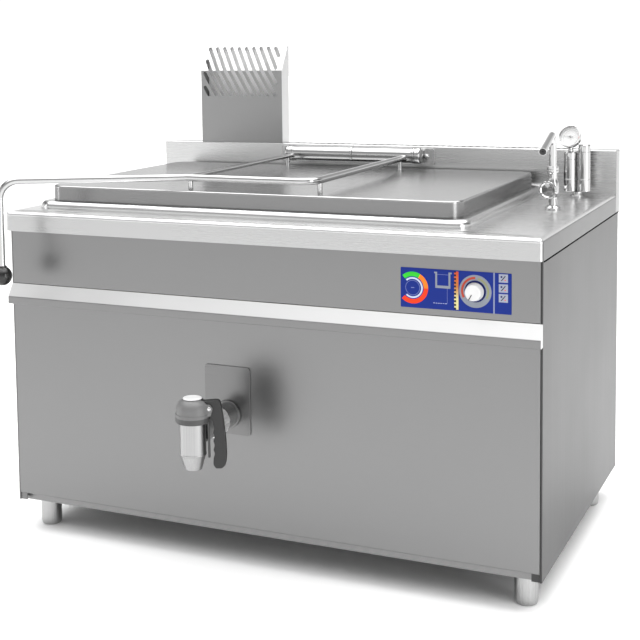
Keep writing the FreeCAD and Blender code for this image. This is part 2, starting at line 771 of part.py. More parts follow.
def insulation():
    """Mineral-wool blanket round the jacket's four sides."""
    blanket = well_form(JACKET_GAP + INSULATION_T, JACKET_Z, APRON_Z)
    blanket = blanket.cut(well_form(JACKET_GAP, JACKET_Z - 1, APRON_Z + 1))
    drain = V(DRAIN_X, 0, DRAIN_Z)
    steam = V(WELL_X, STEAM_PORT_Y, STEAM_PIPE_Z)
    return blanket.cut([rod(drain, drain + BACK * WELL_Y, DRAIN_PIPE_R + FIT),
                        rod(steam, steam + RIGHT * WIDTH, STEAM_PIPE_R + FIT)])


def burner_places():
    return [WELL_X + (index - (BURNERS - 1) / 2) * BURNER_PITCH for index in range(BURNERS)]


def combustion_chamber():
    """Fire box under the jacket, open below, with a port for each burner and one for the flue."""
    def ring(inset, low, high):
        outline = rectangle(WELL_X, WELL_Y, CHAMBER_W - 2 * inset, CHAMBER_D - 2 * inset, 0)
        return prism(outline, "Z", low, high)
    walls = ring(0, CHAMBER_Z, JACKET_Z).cut(ring(CHAMBER_T, CHAMBER_Z - 1, JACKET_Z + 1))
    front = WELL_Y - CHAMBER_D / 2
    ports = [rod(V(x, front - 1, BURNER_Z), V(x, front + 2 * CHAMBER_T, BURNER_Z), BURNER_R)
             for x in burner_places()]
    rear = WELL_Y + CHAMBER_D / 2
    half = FLUE_DUCT_W / 2 - DUCT_T
    ports.append(box((FLUE_X - half, rear - 2 * CHAMBER_T, DUCT_FLOOR_Z + DUCT_T),
                     (FLUE_X + half, rear + 1, DUCT_FLOOR_Z + DUCT_LINK_H - DUCT_T)))
    return walls.cut(ports)


def burner_tubes():
    """Four blown-form burner tubes with a flared mouth and rows of flame ports along the top."""
    front = WELL_Y - CHAMBER_D / 2 - BURNER_OUT
    length = CHAMBER_D + BURNER_OUT - CHAMBER_T
    solids = []
    for x in burner_places():
        profile = [(BURNER_BORE_R, 0, 0), (BURNER_MOUTH_R, 0, 2), (BURNER_THROAT_R, BURNER_OUT / 2, 6),
                   (BURNER_R, BURNER_OUT - BURNER_WALL, 4), (BURNER_R, length, 0), (0, length, 0),
                   (0, length - BURNER_WALL, 0), (BURNER_R - BURNER_WALL, length - BURNER_WALL, 0),
                   (BURNER_R - BURNER_WALL, BURNER_OUT, 4), (BURNER_BORE_R, BURNER_OUT / 2, 0)]
        burner = turned(profile, V(x, front, BURNER_Z), BACK)
        first = front + BURNER_OUT + PORT_PITCH
        ports = [box((x - PORT_W / 2, first + index * PORT_PITCH, BURNER_Z),
                     (x + PORT_W / 2, first + index * PORT_PITCH + PORT_D, BURNER_Z + BURNER_R + 1))
                 for index in range(PORTS)]
        solids.append(burner.cut(ports))
    return Part.makeCompound(solids)


def gas_manifold():
    """Pipe from the gas valve down to the burners, with an injector for each burner's mouth."""
    mouth = WELL_Y - CHAMBER_D / 2 - BURNER_OUT
    line_y = mouth - MANIFOLD_GAP
    valve_bottom = KNOB_Z - GAS_VALVE_H / 2
    points = [V(GAS_OUT_X, line_y, valve_bottom), V(GAS_OUT_X, line_y, BURNER_Z),
              V(burner_places()[0] - 2 * MANIFOLD_R, line_y, BURNER_Z)]
    line = pipe(points, MANIFOLD_R, PIPE_BEND)
    injectors = [rod(V(x, line_y, BURNER_Z), V(x, mouth + 3, BURNER_Z), INJECTOR_R) for x in burner_places()]
    return joined(line, *injectors)


def gas_valve():
    """Thermostatic gas valve behind the fascia, held by the threaded neck round its spindle."""
    mouth = WELL_Y - CHAMBER_D / 2 - BURNER_OUT
    front = GAS_VALVE_Y
    rear = max(front + GAS_VALVE_D, mouth - MANIFOLD_GAP + MANIFOLD_R + 4)
    middle_x = (GAS_IN_X + GAS_OUT_X) / 2
    outline = rectangle(middle_x, KNOB_Z, GAS_VALVE_W, GAS_VALVE_H, 6)
    body = prism(outline, "Y", front, rear)
    start = V(KNOB_X, PANEL_Y + SHEET, KNOB_Z)
    end = V(KNOB_X, front, KNOB_Z)
    body = joined(body, rod(start, end, NECK_R))
    return body.cut(rod(start, end + BACK * GAS_VALVE_D / 2, SPINDLE_R + RUN))


def gas_pipe():
    """Gas supply pipe, from the open end under the base to the valve."""
    valve_y = GAS_VALVE_Y + GAS_VALVE_D / 2
    points = [V(GAS_IN_X, GAS_INLET_Y, PIPE_END_Z), V(GAS_IN_X, GAS_INLET_Y, GAS_LINE_Z),
              V(GAS_IN_X, valve_y, GAS_LINE_Z), V(GAS_IN_X, valve_y, KNOB_Z - GAS_VALVE_H / 2)]
    line = pipe(points, GAS_PIPE_R, PIPE_BEND, GAS_PIPE_R - 2)
    return joined(line, pipe_stop(GAS_IN_X, GAS_INLET_Y, GAS_PIPE_R))


def flue_duct():
    """Duct from the back of the fire box up through the backsplash to the flue head."""
    half = FLUE_DUCT_W / 2
    front, back = SPLASH_Y + SPLASH_ROUND + FIT, DEPTH - DECK_SHEET - SPLASH_ROUND
    link_front = WELL_Y + CHAMBER_D / 2
    link_top = DUCT_FLOOR_Z + DUCT_LINK_H

    def form(inset, reach):
        riser = box((FLUE_X - half + inset, front + inset, DUCT_FLOOR_Z + inset),
                    (FLUE_X + half - inset, back - inset, SPLASH_Z + reach))
        link = box((FLUE_X - half + inset, link_front - reach, DUCT_FLOOR_Z + inset),
                   (FLUE_X + half - inset, front + 2 * inset + 1, link_top - inset))
        return joined(riser, link)
    return form(0, 0).cut(form(DUCT_T, 1))


# Drain line and tap

def drain_pipe():
    """Drain line from the vessel's sump forward to the tap, through jacket and front panel."""
    sump_top = V(DRAIN_X, SUMP_Y, VESSEL_FLOOR_Z - VESSEL_T)
    elbow = V(DRAIN_X, SUMP_Y, DRAIN_Z)
    tap = V(DRAIN_X, DRAIN_Y, DRAIN_Z)
    bore = DRAIN_PIPE_R - DRAIN_PIPE_T
    outer = joined(rod(elbow, sump_top, DRAIN_PIPE_R), rod(tap, elbow, DRAIN_PIPE_R),
                   Part.makeSphere(DRAIN_PIPE_R, elbow))
    inner = joined(rod(elbow, sump_top + UP, bore), rod(tap, elbow, bore), Part.makeSphere(bore, elbow))
    body = rod(V(DRAIN_X, DRAIN_Y, OUTLET_Z), V(DRAIN_X, DRAIN_Y, BODY_TOP_Z + 1), BODY_R)
    flange_y = PANEL_Y - COVER_T
    flange = rod(V(DRAIN_X, flange_y - FLANGE_L, DRAIN_Z), V(DRAIN_X, flange_y, DRAIN_Z), FLANGE_R)
    return joined(outer, flange).cut(inner).cut(body)


def drain_plate():
    """Cover plate on the front panel, round the drain pipe."""
    plate = prism(rectangle(COVER_X, COVER_Z, COVER_W, COVER_H, COVER_ROUND), "Y", PANEL_Y - COVER_T, PANEL_Y)
    centre = V(DRAIN_X, 0, DRAIN_Z)
    return plate.cut(rod(centre, centre + BACK * (PANEL_Y + 1), DRAIN_PIPE_R))


def drain_union():
    """Fluted union nut on the drain pipe."""
    start = V(DRAIN_X, UNION_Y, DRAIN_Z)
    profile = [(DRAIN_PIPE_R, 0, 0), (UNION_R, 0, 1.5), (UNION_R, UNION_L, 1.5), (DRAIN_PIPE_R, UNION_L, 0)]
    nut = turned(profile, start, BACK)
    flute = rod(start + UP * (UNION_R + UNION_FLUTE_R / 2) + BACK * 6,
                start + UP * (UNION_R + UNION_FLUTE_R / 2) + BACK * (UNION_L + 1), UNION_FLUTE_R)
    return nut.cut(ring_of(flute, UNION_FLUTES, start, BACK))


def drain_body():
    """Tap body: a cylinder with a tapered outlet, and the valve seat between them."""
    bore = BODY_R - BODY_T
    profile = [(bore, BODY_TOP_Z, 0), (BODY_R, BODY_TOP_Z, 1), (BODY_R, TAPER_Z, 6), (OUTLET_R, OUTLET_Z, 1),
               (OUTLET_R - BODY_T, OUTLET_Z, 0), (bore - BODY_T / 2, TAPER_Z, 0), (SEAT_R, TAPER_Z, 0),
               (SEAT_R, TAPER_Z + SEAT_T, 1.5), (bore, TAPER_Z + SEAT_T, 0)]
    body = turned(profile, V(DRAIN_X, DRAIN_Y, 0))
    return body.cut(rod(V(DRAIN_X, DRAIN_Y, DRAIN_Z), V(DRAIN_X, 0, DRAIN_Z), DRAIN_PIPE_R - DRAIN_PIPE_T))


def at_tap(shape):
    """Turn a shape drawn along the lever (X) about the tap's axis and move it to the tap."""
    shape = shape.copy()
    shape.rotate(V(0, 0, 0), UP, LEVER_TURN)
    return shape.translated(V(DRAIN_X, DRAIN_Y, 0))


def drain_cap():
    """Black domed cap with a slot for the lever's arm, two ears for its pin and a thin rib below."""
    band_top = BODY_TOP_Z + CAP_BAND
    base = BODY_TOP_Z + CAP_T
    dome = CAP_R - CAP_STEP
    outer = turned([(0, BODY_TOP_Z, 0), (CAP_R, BODY_TOP_Z, 3), (CAP_R, band_top, 1), (dome, band_top, 0),
                    (dome - 1, CAP_TOP_Z, CAP_ROUND), (0, CAP_TOP_Z, 0)], V(0, 0, 0))
    inside = dome - CAP_T
    ceiling = CAP_TOP_Z - CAP_T
    hollow = turned([(0, base, 0), (inside, base, 0), (inside, ceiling, CAP_ROUND - CAP_T),
                     (0, ceiling, 0)], V(0, 0, 0))
    half = LEVER_W / 2 + 2 * FIT
    slot = box((BUTTON_R - 3, -half, band_top - CAP_NOTCH), (CAP_R + 1, half, CAP_TOP_Z + 1))
    ear_top = PIVOT_Z + EAR_R
    ear = [(EAR_ROOT, band_top - 8, 0), (PIVOT_S + 4, band_top - 4, 2), (PIVOT_S + EAR_R, PIVOT_Z, EAR_R - 2),
           (PIVOT_S + 2, ear_top, 4), (EAR_ROOT, ear_top, 0)]
    ears = [prism(ear, "Y", side * half, side * (half + EAR_T)) for side in (-1, 1)]
    spigot = rod(V(0, 0, BODY_TOP_Z - SPIGOT_L), V(0, 0, base), BODY_R - BODY_T - FIT)
    ear_block = joined(ears[0], ears[1]).cut(rod(V(0, 0, BODY_TOP_Z), V(0, 0, CAP_TOP_Z), inside))
    rib = prism([(RIB_IN, BODY_TOP_Z + 1, 0), (RIB_IN, RIB_Z, 2.5), (RIB_IN + RIB_W, RIB_Z, 2.5),
                 (RIB_IN + RIB_W - 1, BODY_TOP_Z + 1, 0)], "Y", -RIB_T / 2, RIB_T / 2)
    cap = joined(outer.cut(hollow).cut(slot), ear_block, spigot, rib)
    pin = rod(V(PIVOT_S, -CAP_R, PIVOT_Z), V(PIVOT_S, CAP_R, PIVOT_Z), PIN_R)
    stem = rod(V(0, 0, BODY_TOP_Z - 2 * SPIGOT_L), V(0, 0, base + 1), VALVE_STEM_R + RUN)
    return at_tap(cap.cut([pin, stem]))


def cap_button():
    """Pale disc on top of the cap."""
    return at_tap(turned([(0, CAP_TOP_Z, 0), (BUTTON_R, CAP_TOP_Z, 0), (BUTTON_R, CAP_TOP_Z + BUTTON_T, 1.5),
                          (0, CAP_TOP_Z + BUTTON_T, 0)], V(0, 0, 0)))


def lever_pin():
    half = LEVER_W / 2 + 2 * FIT + EAR_T
    profile = [(0, -half, 0), (PIN_R, -half, 0), (PIN_R, half, 0), (PIN_HEAD_R, half, 0),
               (PIN_HEAD_R, half + PIN_HEAD_T, 1), (0, half + PIN_HEAD_T, 0)]
    return at_tap(turned(profile, V(PIVOT_S, 0, PIVOT_Z), V(0, -1, 0)))


def drain_lever():
    """Black lever: an inner arm over the valve stem, a pivot and a hanging grip with finger grooves."""
    touch = HEAD_Z + 2 * FIT
    arm = [(HEAD_R - 3, touch, 1), (HEAD_R - 3, HEAD_Z + 10, 3), (BUTTON_R + 2, CAP_TOP_Z - 5, 3)]
    back = [(GRIP_OUT - 14, CAP_TOP_Z - 2, 8), (GRIP_OUT - 4, BODY_TOP_Z - 20, 60),
            (GRIP_OUT, GRIP_Z + 30, 40), (GRIP_OUT - 2, GRIP_Z + 9, 5), (GRIP_OUT - 11, GRIP_Z, 5)]
    inside = [(GRIP_IN + 5, GRIP_Z, 3), (GRIP_IN - 1, GRIP_Z + 8, 3), (GRIP_IN - 1, GRIP_Z + 16, 3),
              (GRIP_IN, GRIP_Z + 110, 12)]
    underside = [(PIVOT_S - 6, PIVOT_Z - 12, 8), (HEAD_R + 4, HEAD_Z - 1, 3), (HEAD_R, touch, 0)]
    half = LEVER_W / 2
    lever = prism(arm + back + inside + underside, "Y", -half, half)
    for index in range(GROOVES):
        centre = V(GRIP_IN + GROOVE_DEPTH - GROOVE_R, 0, GROOVE_Z + (index + 0.5) * GROOVE_PITCH)
        lever = lever.cut(rod(centre - BACK * LEVER_W, centre + BACK * LEVER_W, GROOVE_R))
    pin = V(PIVOT_S, 0, PIVOT_Z)
    return at_tap(lever.cut(rod(pin - BACK * LEVER_W, pin + BACK * LEVER_W, PIN_R + RUN)))


def valve_stem():
    """Stem with the head that the lever presses, and the valve disc under the seat."""
    disc_top = TAPER_Z - FIT - SEAL_T
    profile = [(0, disc_top - DISC_T, 0), (DISC_R, disc_top - DISC_T, 1.5), (DISC_R, disc_top, 0),
               (VALVE_STEM_R, disc_top, 0), (VALVE_STEM_R, HEAD_Z - HEAD_T, 0), (HEAD_R, HEAD_Z - HEAD_T, 0),
               (HEAD_R, HEAD_Z, 1), (0, HEAD_Z, 0)]
    return turned(profile, V(DRAIN_X, DRAIN_Y, 0))


def valve_seal():
    """Rubber ring on the valve disc that closes against the seat."""
    top = TAPER_Z - FIT
    low = top - SEAL_T
    profile = [(VALVE_STEM_R, low, 0), (DISC_R, low, 0), (DISC_R, top, 0.8), (VALVE_STEM_R, top, 0)]
    return turned(profile, V(DRAIN_X, DRAIN_Y, 0))


def valve_spring():
    """Square-wire spring between the cap's base and the stem's head, which closes the valve."""
    half = SPRING_WIRE / 2
    low = BODY_TOP_Z + CAP_T + half + FIT
    high = HEAD_Z - HEAD_T - half - FIT
    helix = Part.makeHelix((high - low) / SPRING_TURNS, high - low, SPRING_R)
    corners = [V(SPRING_R + u * half, 0, v * half) for u, v in ((-1, -1), (1, -1), (1, 1), (-1, 1), (-1, -1))]
    spring = Part.Wire(helix.Edges).makePipeShell([Part.makePolygon(corners)], True, True)
    return spring.translated(V(DRAIN_X, DRAIN_Y, low))


# Control knob

def control_knob():
    """Round knob with a rounded face, a pointer groove and its spindle."""
    back = PANEL_Y - OVERLAY_T - FIT
    face = back - KNOB_L
    spindle_end = GAS_VALVE_Y + GAS_VALVE_D / 4
    profile = [(0, face, 0), (KNOB_FACE_R, face, KNOB_ROUND), (KNOB_R, back - KNOB_SKIRT, 2),
               (KNOB_R, back, 0), (SPINDLE_R, back, 0), (SPINDLE_R, spindle_end, 0), (0, spindle_end, 0)]
    knob = turned(profile, V(KNOB_X, 0, KNOB_Z), BACK)
    groove = box((-KNOB_GROOVE / 2, face - 1, -KNOB_R), (KNOB_GROOVE / 2, face + KNOB_GROOVE, -KNOB_R / 4))
    groove.rotate(V(0, 0, 0), BACK, KNOB_TURN)
    return knob.cut(groove.translated(V(KNOB_X, 0, KNOB_Z)))


# Filling tap

def tap_body():
    """Pillar tap body with a round flange, a valve chamber, a side bonnet and a socket for the spout."""
    centre = V(TAP_X, TAP_Y, DECK_Z)
    socket = TAP_H - SPOUT_PLUG
    bore = [(SPOUT_R + RUN, TAP_H, 0), (SPOUT_R + RUN, socket, 0), (WATER_PIPE_R, socket, 0),
            (WATER_PIPE_R, 0, 0)]
    bonnet_start = centre + UP * TAP_BONNET_H
    bonnet_end = bonnet_start + WHEEL_AXIS * TAP_BONNET_L
    bonnet = rod(bonnet_start, bonnet_end, TAP_BONNET_R)
    core = rod(centre, centre + UP * TAP_H, WATER_PIPE_R)
    body = joined(turned(TAP_OUTLINE + bore, centre), bonnet.cut(core))
    stem_start = bonnet_start + WHEEL_AXIS * TAP_CHAMBER_R
    return body.cut(rod(stem_start, bonnet_end + WHEEL_AXIS, WHEEL_STEM_R + RUN))


def tap_wheel():
    """Fluted hand wheel and its valve spindle."""
    start = V(TAP_X, TAP_Y, DECK_Z + TAP_BONNET_H) + WHEEL_AXIS * TAP_CHAMBER_R
    hub = TAP_BONNET_L - TAP_CHAMBER_R + 2 * FIT
    face = hub + WHEEL_T
    recess = face - WHEEL_RECESS
    profile = [(0, 1, 0), (WHEEL_STEM_R, 1, 0), (WHEEL_STEM_R, hub, 0), (WHEEL_BACK_R, hub, 1),
               (WHEEL_R, hub + 4, 2), (WHEEL_R, face, 2.5), (WHEEL_R - 4, face, 1.5),
               (WHEEL_R - 7, recess, 1), (0, recess + 1, 0)]
    wheel = turned(profile, start, WHEEL_AXIS)
    outward = UP * (WHEEL_R + WHEEL_FLUTE_OUT)
    flute_start = start + outward + WHEEL_AXIS * hub
    flute = rod(flute_start, flute_start + WHEEL_AXIS * (WHEEL_T + 1), WHEEL_FLUTE_R)
    return wheel.cut(ring_of(flute, WHEEL_FLUTES, start, WHEEL_AXIS))


def tap_spout():
    """Swivel spout: an upright tube, a tight bend and a long run that falls towards its open end."""
    centre = V(TAP_X, TAP_Y, DECK_Z)
    way = V(math.sin(math.radians(SPOUT_TURN)), -math.cos(math.radians(SPOUT_TURN)), 0)
    points = [centre + UP * (TAP_H - SPOUT_PLUG + 1), centre + UP * SPOUT_H,
              centre + way * SPOUT_REACH + UP * (SPOUT_H - SPOUT_DROP)]
    return pipe(points, SPOUT_R, SPOUT_BEND, SPOUT_R - SPOUT_T)


def water_pipe():
    """Water supply pipe, straight down from the tap to below the base."""
    top = V(TAP_X, TAP_Y, DECK_Z)
    line = tube(V(TAP_X, TAP_Y, PIPE_END_Z), top, WATER_PIPE_R, WATER_PIPE_R - 1)
    return joined(line, pipe_stop(TAP_X, TAP_Y, WATER_PIPE_R))


# Safety group

def group_cylinder(side, radius, top):
    """One chrome cylinder of the safety group, with a thin ring round it."""
    centre = V(GROUP_X + side * GROUP_PITCH / 2, GROUP_Y, DECK_Z)
    low = NIPPLE_H
    outer = radius + RING_OUT
    high = RING_Z + RING_T
    profile = [(0, low, 0), (radius, low, 2), (radius, RING_Z, 0), (outer, RING_Z, 1), (outer, high, 1),
               (radius, high, 0), (radius, top, 4), (0, top, 0)]
    return turned(profile, centre)


def safety_base():
    """Nipple on the deck that carries both cylinders."""
    centre = V(GROUP_X, GROUP_Y, DECK_Z)
    nipple = rod(centre, centre + UP * NIPPLE_H, NIPPLE_R)
    flange = rod(centre, centre + UP * 3, NIPPLE_R + 7)
    return joined(nipple, flange)


def safety_valve():
    """Left cylinder: the safety valve, with the gauge's stem on top."""
    return group_cylinder(-1, VALVE_R, SAFETY_TOP)


def vacuum_breaker():
    return group_cylinder(1, BREAKER_R, GROUP_TOP)


def gauge_case():
    """Round pressure gauge with a bezel, a dial well and its stem, tilted towards the cook."""
    glass_r, dial_r = GAUGE_R - GAUGE_WALL, GAUGE_R - 2 * GAUGE_WALL
    profile = [(0, -GAUGE_D, 0), (dial_r, -GAUGE_D, 3), (glass_r, -BEZEL_D, 1), (GAUGE_R, -BEZEL_D, 0),
               (GAUGE_R, BEZEL_LIP, 1.2), (glass_r, BEZEL_LIP, 0), (glass_r, -GLASS_T, 0),
               (dial_r, -GLASS_T, 0), (dial_r, -GAUGE_WELL, 0), (0, -GAUGE_WELL, 0)]
    case = turned(profile, GAUGE_POINT, GAUGE_AXIS)
    valve_top = V(GAUGE_POINT.x, GROUP_Y, DECK_Z + SAFETY_TOP)
    rear = GAUGE_POINT - GAUGE_AXIS * GAUGE_D * 0.6
    stem = rod(valve_top, V(valve_top.x, valve_top.y, rear.z), GAUGE_STEM_R)
    case = joined(case, stem.cut(rod(GAUGE_POINT - GAUGE_AXIS * GAUGE_WELL, GAUGE_POINT, dial_r)))
    pin = GAUGE_POINT - GAUGE_AXIS * GAUGE_WELL
    return case.cut(rod(pin - GAUGE_AXIS * (NEEDLE_PIN_L + 1), pin, NEEDLE_PIN_R + RUN))


def gauge_glass():
    edge = GAUGE_R - GAUGE_WALL
    return turned([(0, -GLASS_T, 0), (edge, -GLASS_T, 0), (edge, 0, 0.5), (0, 0, 0)], GAUGE_POINT, GAUGE_AXIS)


def gauge_needle():
    """Pointer with its hub and the pin that turns in the dial."""
    hub_z = NEEDLE_LIFT - GAUGE_WELL
    hub = Part.makeCylinder(NEEDLE_HUB_R, NEEDLE_HUB_T, V(0, 0, hub_z))
    pin = Part.makeCylinder(NEEDLE_PIN_R, NEEDLE_PIN_L + NEEDLE_LIFT, V(0, 0, -GAUGE_WELL - NEEDLE_PIN_L))
    wide, tip = NEEDLE_W / 2, NEEDLE_TIP / 2
    outline = [(-NEEDLE_TAIL, -wide, 0), (NEEDLE_L, -tip, 0), (NEEDLE_L, tip, 0), (-NEEDLE_TAIL, wide, 0)]
    blade = prism(outline, "Z", hub_z + NEEDLE_T, hub_z + 2 * NEEDLE_T)
    needle = joined(hub, pin, blade)
    needle.rotate(V(0, 0, 0), UP, NEEDLE_REST)
    return stood(needle, GAUGE_POINT, GAUGE_AXIS)


def steam_pipe():
    """Steam pipe from the jacket's side up to the safety group."""
    port_x = WELL_X + WELL_W / 2 + JACKET_GAP
    points = [V(port_x, STEAM_PORT_Y, STEAM_PIPE_Z), V(GROUP_X, STEAM_PORT_Y, STEAM_PIPE_Z),
              V(GROUP_X, GROUP_Y, STEAM_PIPE_Z), V(GROUP_X, GROUP_Y, DECK_Z)]
    return pipe(points, STEAM_PIPE_R, PIPE_BEND, STEAM_PIPE_R - 2)


# Lid and hinge

def lid_form(inset, low, high, edge_round):
    outline = rectangle(WELL_X, LID_Y, LID_W - 2 * inset, LID_D - 2 * inset, LID_ROUND - inset)
    return round_top(prism(outline, "Z", low, high), edge_round)


def lid_pan():
    """Outer lid pan with rounded corners and a deep skirt."""
    outer = lid_form(0, LID_Z, LID_TOP_Z, LID_EDGE_ROUND)
    return outer.cut(lid_form(LID_T, LID_Z - 1, LID_TOP_Z - LID_T, LID_EDGE_ROUND - LID_T))


def lid_liner():
    """Inner lid skin: a shallow tray under the pan that faces the food."""
    top = LID_TOP_Z - LID_T
    low = LID_Z + LINER_LIFT

    def form(inset, base, height):
        outline = rectangle(WELL_X, LID_Y, LID_W - 2 * inset, LID_D - 2 * inset, LID_ROUND)
        return prism(outline, "Z", base, height)
    return form(LINER_INSET, low, top).cut(form(LINER_INSET + SHEET, low + SHEET, top + 1))


def hinge_solid():
    """The whole hinge tube as a solid bar, to trim what is welded to it."""
    half = HINGE_SPAN / 2
    return rod(V(HINGE_X - half, HINGE_Y, HINGE_Z), V(HINGE_X + half, HINGE_Y, HINGE_Z), HINGE_TUBE_R)


def rail_tube():
    points = [V(RAIL_X, HINGE_Y, TUBE_Z), V(RAIL_X, BAR_Y, TUBE_Z), V(BRACE_X, BAR_Y, TUBE_Z),
              V(HANDLE_X, HANDLE_Y, TUBE_Z), V(HANDLE_X, HANDLE_Y, BALL_Z + BALL_R / 2)]
    return pipe(points, TUBE_R, [RAIL_BEND, JOINT_BEND, HANDLE_BEND])


def lid_frame():
    """One bent tube: the right rail, the front bar and the handle that drops to the ball knob."""
    return rail_tube().cut(hinge_solid())


def lid_brace():
    """Thinner rod from the front corner back to the hinge tube."""
    bar = rod(V(BRACE_X, BAR_Y, TUBE_Z), V(BRACE_X, HINGE_Y, TUBE_Z), ROD_R)
    return bar.cut([hinge_solid(), rail_tube()])


def lid_posts():
    """Four posts welded between the lid and the tubes above it."""
    places = [(BRACE_X, BAR_Y + 3 * TUBE_R), (RAIL_X, BAR_Y + RAIL_BEND), (BRACE_X, POST_REAR_Y),
              (RAIL_X, POST_REAR_Y)]
    tubes = rail_tube()
    brace = rod(V(BRACE_X, BAR_Y, TUBE_Z), V(BRACE_X, HINGE_Y, TUBE_Z), ROD_R)
    solids = []
    for x, y in places:
        post = rod(V(x, y, LID_TOP_Z), V(x, y, TUBE_Z), POST_R)
        solids.append(post.cut([tubes, brace]).Solids[0])
    return Part.makeCompound(solids)


def ball_knob():
    """Ball knob on the lower end of the handle."""
    return Part.makeSphere(BALL_R, V(HANDLE_X, HANDLE_Y, BALL_Z)).cut(rail_tube())


def hinge_parts():
    """End points of the two tube lengths, between the outer lugs and the middle one."""
    outer = HINGE_SPAN / 2 - LUG_T - 2 * FIT
    inner = MIDDLE_LUG_T / 2 + 2 * FIT
    return [(HINGE_X - outer, HINGE_X - inner, -1), (HINGE_X + inner, HINGE_X + outer, 1)]


def hinge_tube():
    """Two lengths of hinge tube with a collar at each outer end."""
    solids = []
    for start, end, side in hinge_parts():
        low = V(start, HINGE_Y, HINGE_Z)
        high = V(end, HINGE_Y, HINGE_Z)
        collar_start = start if side < 0 else end - COLLAR_L
        collar = V(collar_start, HINGE_Y, HINGE_Z)
        length = joined(rod(low, high, HINGE_TUBE_R), rod(collar, collar + RIGHT * COLLAR_L, COLLAR_R))
        solids.append(length.cut(rod(low, high, HINGE_TUBE_R - HINGE_TUBE_T)))
    return Part.makeCompound(solids)


def hinge_bushes():
    """Bearing bushes pressed into the ends of both tube lengths, running on the fixed shaft."""
    solids = []
    for start, end, side in hinge_parts():
        for face, way in ((start, 1), (end, -1)):
            near = V(face, HINGE_Y, HINGE_Z)
            solids.append(tube(near, near + RIGHT * way * BUSH_L, HINGE_TUBE_R - HINGE_TUBE_T, SHAFT_R + RUN))
    return Part.makeCompound(solids)


def hinge_plate():
    """Back plate on the backsplash with three lugs that hold the hinge shaft."""
    face_y = SPLASH_Y - PLATE_T
    plate = prism(rectangle(HINGE_X, PLATE_Z, PLATE_L, PLATE_H, PLATE_ROUND), "Y", face_y, SPLASH_Y)
    lugs = []
    half = HINGE_SPAN / 2
    for start, thick in ((HINGE_X - half, LUG_T), (HINGE_X - MIDDLE_LUG_T / 2, MIDDLE_LUG_T),
                         (HINGE_X + half - LUG_T, LUG_T)):
        centre = V(start, HINGE_Y, HINGE_Z)
        lugs.append(rod(centre, centre + RIGHT * thick, LUG_R))
        lugs.append(box((start, HINGE_Y, HINGE_Z - LUG_ARM), (start + thick, face_y, HINGE_Z + LUG_ARM)))
    shaft = rod(V(HINGE_X - half, HINGE_Y, HINGE_Z), V(HINGE_X + half, HINGE_Y, HINGE_Z), SHAFT_R)
    bolts = []
    for x in (HINGE_X - BOLT_SPAN / 2, HINGE_X + BOLT_SPAN / 2):
        bolts.append(rod(V(x, face_y - 1, PLATE_Z), V(x, SPLASH_Y + 1, PLATE_Z), BOLT_R + FIT))
    return joined(plate, *lugs).cut([shaft] + bolts)


def hinge_bolts():
    """Two domed bolts through the back plate and the backsplash, each with its nut behind."""
    solids = []
    head_y = SPLASH_Y - PLATE_T
    nut_y = SPLASH_Y + DECK_SHEET
    for side in (-1, 1):
        head = V(HINGE_X + side * BOLT_SPAN / 2, head_y, PLATE_Z)
        nut = nut_y - head_y
        profile = [(0, -BOLT_HEAD_H, 0), (BOLT_TOP_R, -BOLT_HEAD_H, 2), (BOLT_HEAD_R, 0, 0),
                   (BOLT_R, 0, 0), (BOLT_R, nut, 0), (BOLT_HEAD_R, nut, 0), (BOLT_HEAD_R, nut + NUT_H, 0),
                   (0, nut + NUT_H, 0)]
        solids.append(turned(profile, head, BACK))
    return Part.makeCompound(solids)


def hinge_shaft():
    """Fixed hollow shaft through the lugs, with a domed head at each end."""
    half = HINGE_SPAN / 2
    end, bored = half + END_CAP_L, half - 1
    head = [(SHAFT_R, half, 0), (COLLAR_R, half, 0), (COLLAR_R, end, END_CAP_ROUND), (0, end, 0),
            (0, bored, 0), (SHAFT_BORE, bored, 0)]
    profile = head + [(radius, -height, rounding) for radius, height, rounding in head[::-1]]
    return turned(profile, V(HINGE_X, HINGE_Y, HINGE_Z), RIGHT)


def torsion_bar():
    """Torsion bar inside the hollow shaft that balances the lid's weight."""
    half = HINGE_SPAN / 2 - 1
    head = [(TORSION_R, half - TORSION_HEAD - TORSION_CONE, 0), (SHAFT_BORE, half - TORSION_HEAD, 0),
            (SHAFT_BORE, half, 0), (0, half, 0)]
    profile = head + [(radius, -height, rounding) for radius, height, rounding in head[::-1]]
    return turned(profile, V(HINGE_X, HINGE_Y, HINGE_Z), RIGHT)


